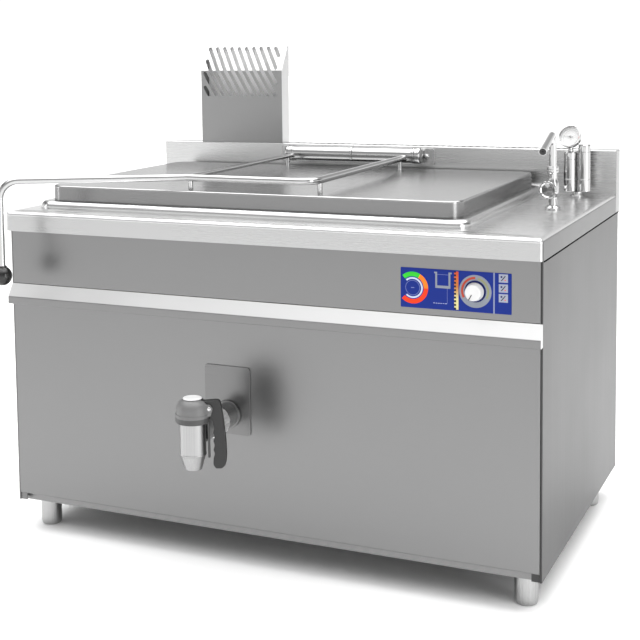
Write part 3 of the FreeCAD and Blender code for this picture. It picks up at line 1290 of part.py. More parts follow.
def all_parts():
    return {
        "cabinet_frame": cabinet_frame(), "foot_front_left": foot(-1, FOOT_FRONT_Y),
        "foot_front_right": foot(1, FOOT_FRONT_Y), "foot_rear_left": foot(-1, FOOT_REAR_Y),
        "foot_rear_right": foot(1, FOOT_REAR_Y), "left_panel": side_panel(-1), "right_panel": side_panel(1),
        "rear_panel": rear_panel(), "fascia": fascia(), "lower_front_panel": lower_front_panel(),
        "front_ledge": front_ledge(), "control_overlay": control_overlay(), "worktop": worktop(),
        "well_rim": well_rim(), "backsplash": backsplash(), "flue_chimney": flue_chimney(),
        "inner_vessel": inner_vessel(), "steam_jacket": steam_jacket(), "insulation": insulation(),
        "combustion_chamber": combustion_chamber(), "burner_tubes": burner_tubes(),
        "gas_manifold": gas_manifold(), "gas_valve": gas_valve(), "gas_pipe": gas_pipe(),
        "flue_duct": flue_duct(), "drain_pipe": drain_pipe(), "drain_plate": drain_plate(),
        "drain_union": drain_union(), "drain_body": drain_body(), "drain_cap": drain_cap(),
        "cap_button": cap_button(), "drain_lever": drain_lever(), "lever_pin": lever_pin(),
        "valve_stem": valve_stem(), "valve_seal": valve_seal(), "valve_spring": valve_spring(),
        "control_knob": control_knob(), "tap_body": tap_body(), "tap_wheel": tap_wheel(),
        "tap_spout": tap_spout(), "water_pipe": water_pipe(), "safety_base": safety_base(),
        "safety_valve": safety_valve(), "vacuum_breaker": vacuum_breaker(), "gauge_case": gauge_case(),
        "gauge_glass": gauge_glass(), "gauge_needle": gauge_needle(), "steam_pipe": steam_pipe(),
        "lid_pan": lid_pan(), "lid_liner": lid_liner(), "lid_frame": lid_frame(), "lid_brace": lid_brace(),
        "lid_posts": lid_posts(), "ball_knob": ball_knob(), "hinge_tube": hinge_tube(),
        "hinge_bushes": hinge_bushes(), "hinge_plate": hinge_plate(), "hinge_bolts": hinge_bolts(),
        "hinge_shaft": hinge_shaft(), "torsion_bar": torsion_bar(),
    }


os.makedirs("parts", exist_ok=True)
for name, shape in all_parts().items():
    shape.translated(V(0, SHIFT_Y, 0)).exportStep("parts/" + name + ".step")
    print(name, "solids", len(shape.Solids), "volume", round(shape.Volume), "valid", shape.isValid())
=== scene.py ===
# %% [markdown]
# # A steam jacketed kettle, dressed for its picture
# The kettle stands in large kitchens: a steel cabinet with a deep well, a sprung lid on a hinge bar, a filling
# tap, a small safety group with a gauge, and a lever tap at the front that drains the well. Its solid model comes
# packed from CAD. This lesson keeps that model as a fixed frame, gives every surface its finish, and models again
# whatever the solid model shows with flat facets: tubes, castings, pressings and knobs.
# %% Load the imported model
import math

import bmesh
import bpy
from mathutils import Matrix, Vector


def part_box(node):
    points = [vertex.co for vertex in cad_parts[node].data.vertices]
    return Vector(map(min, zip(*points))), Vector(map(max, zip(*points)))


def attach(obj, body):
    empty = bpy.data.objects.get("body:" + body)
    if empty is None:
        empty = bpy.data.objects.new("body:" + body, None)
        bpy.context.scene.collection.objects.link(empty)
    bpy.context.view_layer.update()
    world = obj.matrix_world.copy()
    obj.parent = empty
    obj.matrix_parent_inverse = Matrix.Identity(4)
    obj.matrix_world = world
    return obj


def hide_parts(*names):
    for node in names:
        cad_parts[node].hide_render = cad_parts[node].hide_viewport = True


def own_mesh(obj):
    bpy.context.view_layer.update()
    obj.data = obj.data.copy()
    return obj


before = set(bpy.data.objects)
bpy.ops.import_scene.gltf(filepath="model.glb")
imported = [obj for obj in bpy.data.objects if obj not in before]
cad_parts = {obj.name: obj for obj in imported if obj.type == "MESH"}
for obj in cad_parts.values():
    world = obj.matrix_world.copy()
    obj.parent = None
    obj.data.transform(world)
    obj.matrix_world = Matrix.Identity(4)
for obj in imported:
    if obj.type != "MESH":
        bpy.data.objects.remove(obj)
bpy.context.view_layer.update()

# %% [markdown]
# ## The camera
# The picture was taken from the right of the front, a little above the lid, with a long lens. Its place was found
# by lining up the corners of the cabinet, the well and the flue. A camera looks along its own -Z, so it is first
# stood up by 90 degrees less the pitch, then turned about the upright axis. The lens is shifted as far as the
# picture's framing needs.
# %% Set up the camera
IMAGE = 640
CAMERA_PLACE = Vector((1.3486, -3.101, 1.28))
CAMERA_YAW, CAMERA_PITCH, CAMERA_ROLL = 25.087, 5.209, -0.824
FOCAL_PIXELS = 1309.3
SENSOR = 36.0
LENS_SHIFT = (0.078, -0.25)

lens = bpy.data.cameras.new("camera")
lens.sensor_width = SENSOR
lens.lens = FOCAL_PIXELS * SENSOR / IMAGE
lens.shift_x, lens.shift_y = LENS_SHIFT
camera = bpy.data.objects.new("camera", lens)
bpy.context.scene.collection.objects.link(camera)
turn = Matrix.Rotation(math.radians(CAMERA_YAW), 4, "Z")
stand = Matrix.Rotation(math.radians(90 - CAMERA_PITCH), 4, "X")
tilt = Matrix.Rotation(math.radians(CAMERA_ROLL), 4, "Z")
camera.matrix_world = Matrix.Translation(CAMERA_PLACE) @ turn @ stand @ tilt
bpy.context.scene.camera = camera
print("lens", round(lens.lens, 1), "mm")

# %% [markdown]
# ## Writing shaders as sums
# A finish is a small network of nodes. Wiring each node by hand takes many lines, so this class wraps one output
# socket and lets Python's own operators add the Math nodes: `1 - mask * 0.3` is two nodes. Every other node comes
# from the one method `node`, which takes the node's type, its settings and the values or links of its sockets.
# %% A socket that does arithmetic
class Socket:
    """One output of a finish's node tree. Arithmetic on it adds Math nodes."""

    def __init__(self, tree, output=None):
        self.tree, self.output = tree, output

    def node(self, kind, settings=None, sockets=None, output=0):
        made = self.tree.nodes.new("ShaderNode" + kind)
        for name, value in (settings or {}).items():
            if name == "stops":
                ramp = made.color_ramp
                while len(ramp.elements) < len(value):
                    ramp.elements.new(1.0)
                for element, (place, colour) in zip(ramp.elements, value):
                    element.position, element.color = place, colour
            else:
                setattr(made, name, value)
        for name, value in (sockets or {}).items():
            if isinstance(value, Socket):
                self.tree.links.new(value.output, made.inputs[name])
            else:
                made.inputs[name].default_value = value
        return Socket(self.tree, made.outputs[output])

    def maths(self, operation, *values):
        return self.node("Math", {"operation": operation}, dict(enumerate(values)))

    def __add__(self, other):
        return self.maths("ADD", self, other)

    def __radd__(self, other):
        return self.maths("ADD", other, self)

    def __sub__(self, other):
        return self.maths("SUBTRACT", self, other)

    def __rsub__(self, other):
        return self.maths("SUBTRACT", other, self)

    def __mul__(self, other):
        return self.maths("MULTIPLY", self, other)

    def __truediv__(self, other):
        return self.maths("DIVIDE", self, other)

    def __gt__(self, other):
        return self.maths("GREATER_THAN", self, other)

    def __lt__(self, other):
        return self.maths("LESS_THAN", self, other)

    def smooth(self, low, high):
        """0 below low, 1 above high, with a soft step between them."""
        return self.node("MapRange", {"interpolation_type": "SMOOTHSTEP"},
                         {"Value": self, "From Min": low, "From Max": high})


def grey(value):
    return (value, value, value, 1.0)


# %% [markdown]
# ## Starting a finish
# Each finish is a Principled shader. What is the same all over is a number on the shader's own sockets. What
# changes over the surface is worked out from the object's own coordinates, which for every piece here are the
# kettle's metres, so that a brushed grain is as fine on a knob as on a panel.
# %% A finish with its shader
def finish(name, colour, metal=0.0, rough=0.5, **constants):
    """A new material; returns it, its shader node and a Socket that holds the object coordinates."""
    material = bpy.data.materials.new(name)
    material.use_nodes = True
    tree = material.node_tree
    shader = tree.nodes["Principled BSDF"]
    shader.inputs["Base Color"].default_value = colour
    shader.inputs["Metallic"].default_value = metal
    shader.inputs["Roughness"].default_value = rough
    for socket, value in constants.items():
        shader.inputs[socket.replace("_", " ")].default_value = value
    place = Socket(tree).node("TexCoord", output="Object")
    return material, shader, place


def wire(shader, name, value):
    """Link a Socket to one of the shader's inputs."""
    value.tree.links.new(value.output, shader.inputs[name])


def noise(place, scale, stretch=(1, 1, 1), detail=2.0, rough=0.5):
    """Noise between 0 and 1 over the object's coordinates, stretched along an axis for a grain."""
    moved = place.node("Mapping", None, {"Vector": place, "Scale": stretch})
    return place.node("TexNoise", None, {"Vector": moved, "Scale": scale, "Detail": detail, "Roughness": rough})


def mixed(share, low, high):
    """A colour between low and high."""
    return share.node("Mix", {"data_type": "RGBA"}, {0: share, 6: low, 7: high}, output=2)


def bumped(shader, height, strength, distance):
    bump = height.node("Bump", None, {"Height": height, "Strength": strength, "Distance": distance})
    wire(shader, "Normal", bump)


# %% [markdown]
# ## Brushed steel
# The panels are stainless steel with a long straight grain, ground in by a belt. A picture could be painted on, but
# noise stretched hundreds of times along one axis gives the same look at every size: it shifts the roughness and
# tilts the surface slightly, and a second, broad noise stands for the faint clouds left by wiping. Light and shade
# are painted into the tone too. A skirt, a front, a lip or a side of a sheet takes a darker tone through a mask of
# its place, as painted shade, and a face turned up to the light can take a lighter one, as painted light.
# %% Brushed and plain steels
GRAIN = {"X": (1.5, 800, 800), "Z": (800, 800, 1.5)}
EDGE = 0.0012


def axis(place, which):
    """One coordinate of a place: 0, 1 or 2 for x, y or z."""
    return place.node("SeparateXYZ", None, {0: place}, output=which)


def brushed_steel(name, tone, rough, grain, contrast=0.06, strength=0.05, painted_light_zones=()):
    """Each zone is (axis, level, sign, tone): beyond level on that side the sheet takes that tone, which is
    painted shade where it is darker than the sheet's own tone and painted light where it is lighter.
    """
    material, shader, place = finish(name, grey(tone), 1.0, rough)
    streaks = noise(place, 1.0, GRAIN[grain], 3.0, 0.6)
    clouds = noise(place, 2.2)
    share = (streaks - 0.5) * contrast + (clouds - 0.5) * 0.12 + 0.5
    shade = share * 0.56 + 0.72
    value = shade * tone
    # Painted light and shade: each zone lays its own tone over the sheet's tone.
    for which, level, sign, painted_tone in painted_light_zones:
        mask = ((axis(place, which) - level) * sign).smooth(-0.0004, 0.0008)
        value = value + mask * (shade * painted_tone - value)
    wire(shader, "Base Color", value.node("CombineColor", None, {0: value, 1: value, 2: value}))
    wire(shader, "Roughness", (streaks - 0.5) * 0.08 + (clouds - 0.5) * 0.1 + rough)
    bumped(shader, streaks, strength, 0.00002)
    return material


flue_low, flue_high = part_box("flue_chimney")
deck_low, deck_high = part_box("worktop")
splash_low, splash_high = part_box("backsplash")
skirt_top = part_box("lid_pan")[1].z - 4 * EDGE
front_of_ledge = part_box("front_ledge")[0].y + EDGE
FLUE_BEND = 1.19
APRON_TOP = deck_high.z - 0.0095
# These sheets are one stainless steel in different tones, each set for how the light falls on it: a face turned up to
# the overhead panel is toned light as painted light, and an upright face is toned dark as painted shade.
panel_steel = brushed_steel("panel_steel", 0.205, 0.34, "X")
# The right side panel's very dark tone is painted shade.
right_steel_painted_shade = brushed_steel("right_steel_painted_shade", 0.058, 0.36, "Z")
left_steel = brushed_steel("left_steel", 0.17, 0.36, "Z")
# Painted light and shade on the deck: its top is toned light, and its apron front and its two sides darker.
deck_steel = brushed_steel("deck_steel", 0.72, 0.28, "X", painted_light_zones=[
    (2, APRON_TOP, -1, 0.42), (0, deck_high.x - EDGE, 1, 0.05), (0, deck_low.x + EDGE, -1, 0.24)])
rim_steel = brushed_steel("rim_steel", 0.58, 0.24, "X")
# Painted shade on the backsplash: its two ends and its back take darker tones than its front.
splash_steel = brushed_steel("splash_steel", 0.52, 0.28, "X", painted_light_zones=[
    (0, splash_high.x - EDGE, 1, 0.3), (0, splash_low.x + EDGE, -1, 0.3), (1, splash_high.y - EDGE, 1, 0.22)])
# Painted shade on the ledge: its front lip takes a darker tone than its sloping top, which is toned light.
ledge_steel = brushed_steel("ledge_steel", 0.6, 0.42, "X", painted_light_zones=[(1, front_of_ledge, -1, 0.21)])
# Painted shade on the lid: its skirt takes a darker tone than its top.
lid_steel = brushed_steel("lid_steel", 0.38, 0.25, "X", painted_light_zones=[(2, skirt_top, -1, 0.2)])
# Painted light and shade on the flue: its slope above the bend and its two ends are toned lighter, its back darker.
flue_steel = brushed_steel("flue_steel", 0.25, 0.34, "Z", painted_light_zones=[
    (2, FLUE_BEND, 1, 0.5), (0, flue_high.x - EDGE * 2 / 3, 1, 0.56), (0, flue_low.x + EDGE * 2 / 3, -1, 0.56),
    (1, flue_high.y - EDGE / 2, 1, 0.22)])
vessel_steel = brushed_steel("vessel_steel", 0.5, 0.28, "Z")
plate_steel = brushed_steel("plate_steel", 0.165, 0.3, "X")
frame_steel = brushed_steel("frame_steel", 0.22, 0.4, "X")
tube_steel = brushed_steel("tube_steel", 0.46, 0.14, "X", 0.04, 0.03)
foot_steel = brushed_steel("foot_steel", 0.4, 0.26, "Z", 0.9, 0.3)
turned_steel = brushed_steel("turned_steel", 0.34, 0.3, "Z", 0.7, 0.2)
print(len(bpy.data.materials), "finishes so far")

# %% [markdown]
# ## Cast, chromed and moulded parts
# The filling tap is chromed brass: almost a mirror, with a trace of haze. The drain tap's lever and cap are black
# nylon, whose moulded skin has a fine orange peel; the cap's lower band is darker.
# %% The other finishes
def chrome_finish(name, colour, rough):
    material, shader, place = finish(name, colour, 1.0, rough)
    wire(shader, "Roughness", (noise(place, 40.0) - 0.5) * 0.06 + rough)
    return material


def moulded_finish(name, colour, rough, grain=900.0, **constants):
    material, shader, place = finish(name, colour, 0.0, rough, IOR=1.48, **constants)
    peel = noise(place, grain)
    wear = noise(place, 14.0, detail=3.0)
    wire(shader, "Roughness", (peel - 0.5) * 0.12 + (wear - 0.5) * 0.12 + rough)
    bumped(shader, peel, 0.2, 0.0001)
    return material


chrome = chrome_finish("chrome", grey(0.5), 0.07)
satin_steel = chrome_finish("satin_steel", grey(0.46), 0.24)
bright_steel = chrome_finish("bright_steel", grey(0.85), 0.48)
dull_steel = chrome_finish("dull_steel", grey(0.45), 0.42)
brass = chrome_finish("valve_brass", (0.62, 0.45, 0.2, 1), 0.3)
copper = chrome_finish("copper", (0.75, 0.36, 0.22, 1), 0.28)
black_nylon = moulded_finish("black_nylon", grey(0.012), 0.46)
cap_nylon = moulded_finish("cap_nylon", grey(0.13), 0.38)
CAP_BAND = (0.4215, 0.4235)
cap_place = Socket(cap_nylon.node_tree).node("TexCoord", output="Object")
wire(cap_nylon.node_tree.nodes["Principled BSDF"], "Base Color",
     mixed(axis(cap_place, 2).smooth(*CAP_BAND), grey(0.05), grey(0.13)))
gloss_black = moulded_finish("gloss_black", grey(0.012), 0.16, 300.0)
pale_plastic = moulded_finish("pale_plastic", grey(0.6), 0.34)
# The next finish is painted light: a pale tone for the flue's inner back, standing in for light through the slots.
flue_back_painted_light = moulded_finish("flue_back_painted_light", grey(0.8), 0.7)
# The next finish is black rubber for the valve seal, and painted shade inside the spout's mouth.
seal_rubber = moulded_finish("seal_rubber", grey(0.03), 0.7)
# The next finish is painted shadow for the gap under the apron: near black and without gloss.
gap_painted_shade = moulded_finish("gap_painted_shade", grey(0.004), 0.9, Specular_IOR_Level=0.0)
burner_iron = moulded_finish("burner_iron", grey(0.05), 0.75, 200.0)
wool = moulded_finish("wool", (0.45, 0.38, 0.22, 1), 0.95, 120.0)
print(len(bpy.data.materials), "finishes")

# %% [markdown]
# ## Finishes on the solid model's own sheets
# Flat sheets need no new mesh: the CAD node stays and takes a finish in its material slots.
# %% Dress the flat CAD nodes
DRESS = {
    panel_steel: ["fascia", "lower_front_panel", "rear_panel"],
    ledge_steel: ["front_ledge"],
    right_steel_painted_shade: ["right_panel"],
    left_steel: ["left_panel"],
    flue_steel: ["flue_chimney"],
    deck_steel: ["worktop"],
    rim_steel: ["well_rim"],
    splash_steel: ["backsplash"],
    lid_steel: ["lid_pan", "lid_liner"],
    vessel_steel: ["inner_vessel"],
    frame_steel: ["cabinet_frame"],
    dull_steel: ["flue_duct", "steam_jacket", "combustion_chamber", "steam_pipe", "gas_pipe", "torsion_bar"],
    satin_steel: ["drain_plate", "drain_union", "drain_body", "drain_pipe", "hinge_plate", "hinge_bolts",
                  "hinge_bushes", "valve_stem", "valve_spring", "lever_pin", "foot_front_left",
                  "foot_front_right", "foot_rear_left", "foot_rear_right"],
    tube_steel: ["lid_frame", "lid_brace", "lid_posts", "hinge_tube", "hinge_shaft"],
    chrome: ["tap_body", "tap_wheel", "tap_spout", "safety_base", "safety_valve", "vacuum_breaker", "gauge_case"],
    black_nylon: ["drain_cap", "drain_lever"],
    pale_plastic: ["cap_button", "control_knob", "control_overlay", "gauge_glass"],
    gloss_black: ["ball_knob", "gauge_needle"],
    seal_rubber: ["valve_seal"],
    brass: ["gas_valve"],
    copper: ["water_pipe"],
    burner_iron: ["burner_tubes", "gas_manifold"],
    wool: ["insulation"],
}
for material, nodes in DRESS.items():
    for node in nodes:
        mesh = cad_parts[node].data
        mesh.materials.clear()
        mesh.materials.append(material)
print("dressed", sum(len(nodes) for nodes in DRESS.values()), "CAD nodes")

# %% [markdown]
# ## Making pieces with bmesh operators
# Curved pieces are modelled again, because the solid model shows them with flat facets. Nearly all of them are one of
# four forms: a line spun about an axis, a round bar bent along straight runs, a slab with rounded corners, or an
# outline pushed out to a thickness. Each form below starts from a circle, a cube or a few vertices and is shaped by
# operators only. A piece is gathered in one bmesh, then `finished` closes it and hands it to its CAD body.
# %% Gather, close and hand over a piece
def absorb(whole, part):
    """Add one bmesh to another."""
    carrier = bpy.data.meshes.new("carrier")
    part.to_mesh(carrier)
    part.free()
    whole.from_mesh(carrier)
    bpy.data.meshes.remove(carrier)


TOUCH = 1e-6


def flat_at(elements, which, level):
    """The edges or faces that lie flat at one level of an axis."""
    return [e for e in elements if all(abs(v.co[which] - level) < TOUCH for v in e.verts)]


def rounded(part, edges, radius, segments):
    """Round a set of edges."""
    bmesh.ops.bevel(part, geom=edges, offset=radius, offset_type="OFFSET", segments=segments,
                    profile=0.5, affect="EDGES", material=-1)


def softened(part, dots, corners, segments=5):
    """Round the dots whose corner (u, v, rounding) has a rounding. Segments of 0 follow from its size."""
    for dot, (u, v, *rounding) in zip(dots, corners):
        if rounding:
            count = segments or max(3, min(14, round(rounding[0] / 0.0012)))
            bmesh.ops.bevel(part, geom=[dot], offset=rounding[0], segments=count, profile=0.5, affect="VERTICES",
                            material=-1)


def middle(node):
    """The middle of a CAD node's box."""
    low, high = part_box(node)
    return (low + high) / 2


def finished(whole, name, material, stands_for=(), body="cabinet", wall=0.0, crease=35):
    """Merge doubles, face outwards, thicken a sheet, shade smooth with creases, and ride on a body.

    Weighted normals keep a large flat face flat right up to the small faces of its rounded edges.
    """
    bmesh.ops.remove_doubles(whole, verts=whole.verts, dist=2 * TOUCH)
    bmesh.ops.recalc_face_normals(whole, faces=whole.faces)
    if wall:
        bmesh.ops.solidify(whole, geom=whole.faces[:], thickness=wall)
    for face in whole.faces:
        face.smooth = True
    mesh = bpy.data.meshes.new(name)
    whole.to_mesh(mesh)
    whole.free()
    mesh.set_sharp_from_angle(angle=math.radians(crease))
    mesh.materials.append(material)
    piece = bpy.data.objects.new(name, mesh)
    bpy.context.scene.collection.objects.link(piece)
    level = piece.modifiers.new("level_faces", "WEIGHTED_NORMAL")
    level.keep_sharp = True
    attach(piece, body)
    if stands_for:
        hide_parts(*stands_for)
    print(name, len(mesh.polygons), "faces")
    return piece


# %% Spin a line about an axis
def aimed(axis):
    """The rotation that stands the upright axis along another direction."""
    return Vector(axis).to_track_quat("Z", "Y").to_matrix().to_4x4()


def spun(corners, centre=(0, 0, 0), axis=(0, 0, 1), steps=48):
    """Spin a line of (radius, height, rounding) corners about an axis through centre."""
    part = bmesh.new()
    dots = [part.verts.new((radius, 0, height)) for radius, height, *rounding in corners]
    for near, far in zip(dots, dots[1:]):
        part.edges.new((near, far))
    softened(part, dots, corners, 0)
    bmesh.ops.spin(part, geom=part.verts[:] + part.edges[:], cent=(0, 0, 0), axis=(0, 0, 1),
                   angle=2 * math.pi, steps=steps, use_merge=True)
    bmesh.ops.remove_doubles(part, verts=part.verts, dist=TOUCH)
    bmesh.ops.transform(part, matrix=Matrix.Translation(centre) @ aimed(axis), verts=part.verts)
    return part


# %% Bend a round bar
def bent_bar(points, radius, bends=(), sides=28, open_end=False):
    """Extrude a ring along each straight run and spin it about the centre of each bend."""
    part = bmesh.new()
    points = [Vector(point) for point in points]
    way = (points[1] - points[0]).normalized()
    bmesh.ops.create_circle(part, cap_ends=not open_end, radius=radius, segments=sides,
                            matrix=Matrix.Translation(points[0]) @ aimed(way))
    ring = part.edges[:]
    here = points[0]

    def run_to(place):
        grown = bmesh.ops.extrude_edge_only(part, edges=ring)["geom"]
        bmesh.ops.translate(part, vec=place - here, verts=[g for g in grown if isinstance(g, bmesh.types.BMVert)])
        return [g for g in grown if isinstance(g, bmesh.types.BMEdge) and len(g.link_faces) == 1]

    for corner, after, bend in zip(points[1:], points[2:], bends):
        onward = (after - corner).normalized()
        angle = way.angle(onward)
        reach = bend * math.tan(angle / 2)
        ring = run_to(corner - way * reach)
        here = corner - way * reach
        axis = way.cross(onward).normalized()
        centre = here + axis.cross(way) * bend
        last = bmesh.ops.spin(part, geom=ring, cent=centre, axis=axis, angle=angle, steps=8)["geom_last"]
        ring = [g for g in last if isinstance(g, bmesh.types.BMEdge)]
        here = corner + onward * reach
        way = onward
    ring = run_to(points[-1])
    if not open_end:
        bmesh.ops.contextual_create(part, geom=ring)
    return part


# %% Slabs and pushed-out outlines
def slab(low, high, corner=0.0, top=0.0, open_faces=""):
    """A block with rounded upright and upper edges; faces named by T or B are left out."""
    part = bmesh.new()
    low, high = Vector(low), Vector(high)
    size = high - low
    bmesh.ops.create_cube(part, size=1.0, matrix=Matrix.Translation((low + high) / 2) @ Matrix.Diagonal(size.to_4d()))
    if corner:
        upright = [e for e in part.edges if abs(e.verts[0].co.z - e.verts[1].co.z) > size.z / 2]
        rounded(part, upright, corner, max(8, round(corner / 0.003)))
    if top:
        rounded(part, flat_at(part.edges, 2, high.z), top, max(4, round(top / 0.0015)))
    for mark, level in (("T", high.z), ("B", low.z)):
        if mark in open_faces:
            bmesh.ops.delete(part, geom=flat_at(part.faces, 2, level), context="FACES")
    return part


def pushed(corners, spot, way, edge=0.0):
    """An outline of (u, v, rounding) corners in the plane that spot gives, pushed out along way."""
    part = bmesh.new()
    dots = [part.verts.new((u, v, 0)) for u, v, *rounding in corners]
    part.faces.new(dots)
    softened(part, dots, corners)
    for vert in part.verts:
        vert.co = spot(vert.co.x, vert.co.y)
    grown = bmesh.ops.extrude_face_region(part, geom=part.faces[:], use_keep_orig=True)["geom"]
    bmesh.ops.translate(part, vec=Vector(way), verts=[g for g in grown if isinstance(g, bmesh.types.BMVert)])
    bmesh.ops.recalc_face_normals(part, faces=part.faces)
    if edge:
        rims = [e for e in part.edges if len(e.link_faces) == 2 and any(len(f.verts) > 4 for f in e.link_faces)]
        rounded(part, rims, edge, 3)
    return part


def sheet(left, right, low, high, y, depth, corner):
    """An upright rectangular sheet with rounded corners that faces the front."""
    return pushed([(left, low, corner), (right, low, corner), (right, high, corner), (left, high, corner)],
                  lambda u, v: Vector((u, y, v)), (0, depth, 0), 0.0008)


def copied(node):
    """A copy of a CAD node's mesh, its loose triangles merged."""
    part = bmesh.new()
    part.from_mesh(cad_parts[node].data)
    bmesh.ops.remove_doubles(part, verts=part.verts, dist=TOUCH)
    return part


# %% [markdown]
# ## The pressed worktop
# The deck is one sheet with a rounded front edge that rolls down into a 50 mm apron, and a large opening for the
# well. A slab with rounded edges gives the outside. Its upper face comes off, a ring for the opening is drawn at the
# same height, and the space between the two is filled again. A bridge would twist here, because one loop has its
# points at two corners and the other at four. The hidden faces go last, and the sheet then gets its real thickness.
# %% Worktop sheet
SHEET = 0.002
rim_low, rim_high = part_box("well_rim")
DECK_ROUND = 0.01
RIM_CORNER = 0.045
RIM_ROUND = 0.016
LANDING = 0.02


def round_ring(low, high, corner, level):
    """A flat ring of edges with rounded corners."""
    made = bmesh.new()
    size = Vector((high.x - low.x, high.y - low.y, 1.0))
    centre = Vector(((high.x + low.x) / 2, (high.y + low.y) / 2, level))
    bmesh.ops.create_grid(made, x_segments=1, y_segments=1, size=0.5,
                          matrix=Matrix.Translation(centre) @ Matrix.Diagonal(size.to_4d()))
    bmesh.ops.bevel(made, geom=made.verts[:], offset=corner, segments=8, profile=0.5, affect="VERTICES",
                    material=-1)
    bmesh.ops.delete(made, geom=made.faces[:], context="FACES_ONLY")
    return made


def filled_between(part, level):
    """Fill between the open loops that lie at one height, and leave the inner one open."""
    edges = [e for e in flat_at(part.edges, 2, level) if len(e.link_faces) < 2]
    made = bmesh.ops.triangle_fill(part, use_beauty=True, use_dissolve=False, edges=edges, normal=(0, 0, 1))["geom"]
    inner = [g for g in made if isinstance(g, bmesh.types.BMEdge) and len(g.link_faces) == 2
             and all(abs(f.normal.z) > 0.999 for f in g.link_faces)]
    bmesh.ops.dissolve_limit(part, angle_limit=0.01, verts=[], edges=inner)


deck = slab(deck_low, deck_high)
rounded(deck, [e for e in flat_at(deck.edges, 1, deck_low.y) if abs(e.verts[0].co.z - e.verts[1].co.z) > 0.01],
        DECK_ROUND, 6)
rounded(deck, [e for e in flat_at(deck.edges, 2, deck_high.z) if any(v.co.y < deck_high.y - TOUCH for v in e.verts)],
        DECK_ROUND, 6)
bmesh.ops.delete(deck, geom=flat_at(deck.faces, 2, deck_high.z), context="FACES_ONLY")
inset = Vector((LANDING, LANDING, 0))
absorb(deck, round_ring(rim_low + inset, rim_high - inset, RIM_CORNER - LANDING, deck_high.z))
filled_between(deck, deck_high.z)
bmesh.ops.delete(deck, geom=flat_at(deck.faces, 2, deck_low.z) + flat_at(deck.faces, 1, deck_high.y), context="FACES")
finished(deck, "deck", deck_steel, ["worktop"], wall=SHEET)

# %% Painted shadow in the gap under the apron's sides
for side, wall in ((1, "right_panel"), (-1, "left_panel")):
    wall_low, wall_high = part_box(wall)
    inside = wall_high.x if side > 0 else wall_low.x
    outside = deck_high.x if side > 0 else deck_low.x
    front, back = wall_low.y + 0.003, wall_high.y - 0.003
    top, foot = deck_low.z - 0.0001, deck_low.z - 0.0045
    # A near-black strip without gloss fills the gap: painted shadow, standing in for the shade under the apron.
    strip = pushed([(front, foot, 0.0006), (back, foot, 0.0006), (back, top), (front, top)],
                   lambda u, v: Vector((inside + side * 0.0001, u, v)),
                   (outside - inside - side * 0.0007, 0, 0), 0.0002)
    finished(strip, wall.split("_")[0] + "_apron_strip", gap_painted_shade)
    print("apron overhang", round(abs(outside - inside) * 1000, 2), "mm")

# %% [markdown]
# ## The raised rim
# A second pressing stands 20 mm proud of the deck round the well and carries the lid. It is made as the deck is: a
# slab with large corners and a soft upper edge, filled up to the well's mouth.
# %% Well rim
well_low, well_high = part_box("inner_vessel")
FLANGE, MOUTH_CORNER = 0.018, 0.042
rim = slab(rim_low, rim_high, RIM_CORNER, RIM_ROUND, open_faces="TB")
mouth_inset = Vector((FLANGE, FLANGE, 0))
absorb(rim, round_ring(well_low + mouth_inset, well_high - mouth_inset, MOUTH_CORNER, rim_high.z))
filled_between(rim, rim_high.z)
finished(rim, "raised_rim", rim_steel, ["well_rim"], wall=SHEET)

# %% [markdown]
# ## The flue head
# The burner's fumes leave through a flat steel head on the backsplash. Its front leans back near the top, and
# slanting slots run down the slope and over the bend. On the bench such a front is punched flat and then folded, and
# it is made here in the same order: outline and slots are drawn on a flat sheet, the space between them is filled,
# the sheet is cut along the bend and its upper part is turned back. Sides, back and top close the box. A pale sheet
# covers its inner back, which shows through the slots; its pale tone is painted light, for the light that comes in.
# %% Flue head with slots across the bend
LAND = 0.006
SLOT_R, SLOT_PITCH, SLOT_SLANT = 0.0058, 0.025, math.radians(30)
SLOT_TOP, SLOT_LENGTH = 0.0095, 0.15
SLOT_MARGIN_LEFT, SLOT_MARGIN_RIGHT = 0.0134, 0.0215
slope_run, slope_rise = flue_high.y - LAND - flue_low.y, flue_high.z - FLUE_BEND
slope_length = math.hypot(slope_run, slope_rise)
sheet_top = FLUE_BEND + slope_length


def drawn(corners):
    """A closed loop of edges on the flat front sheet, from (x, z, rounding) corners."""
    loop = bmesh.new()
    dots = [loop.verts.new((x, flue_low.y, z)) for x, z, *rounding in corners]
    loop.faces.new(dots)
    softened(loop, dots, corners)
    bmesh.ops.delete(loop, geom=loop.faces[:], context="FACES_ONLY")
    return loop


flue = drawn([(flue_low.x, flue_low.z), (flue_high.x, flue_low.z), (flue_high.x, sheet_top), (flue_low.x, sheet_top)])
along_slot = Vector((math.sin(SLOT_SLANT), 0, -math.cos(SLOT_SLANT)))
across_slot = Vector((math.cos(SLOT_SLANT), 0, math.sin(SLOT_SLANT))) * SLOT_R
for index in range(-3, 10):
    top = Vector((flue_low.x + SLOT_MARGIN_LEFT + index * SLOT_PITCH, 0, sheet_top - SLOT_TOP))
    start = max(0.0, -index * SLOT_PITCH / math.tan(SLOT_SLANT))
    end = min(SLOT_LENGTH, (flue_high.x - SLOT_MARGIN_RIGHT - top.x) / math.tan(SLOT_SLANT))
    near = top + along_slot * (start / math.cos(SLOT_SLANT) - SLOT_R)
    far = top + along_slot * (end / math.cos(SLOT_SLANT) + SLOT_R)
    absorb(flue, drawn([(spot.x, spot.z, SLOT_R * 0.96) for spot in (
        near - across_slot, far - across_slot, far + across_slot, near + across_slot)]))
bmesh.ops.triangle_fill(flue, use_beauty=True, use_dissolve=False, edges=flue.edges[:], normal=(0, -1, 0))
bmesh.ops.bisect_plane(flue, geom=flue.verts[:] + flue.edges[:] + flue.faces[:], plane_co=(0, 0, FLUE_BEND),
                       plane_no=(0, 0, 1))
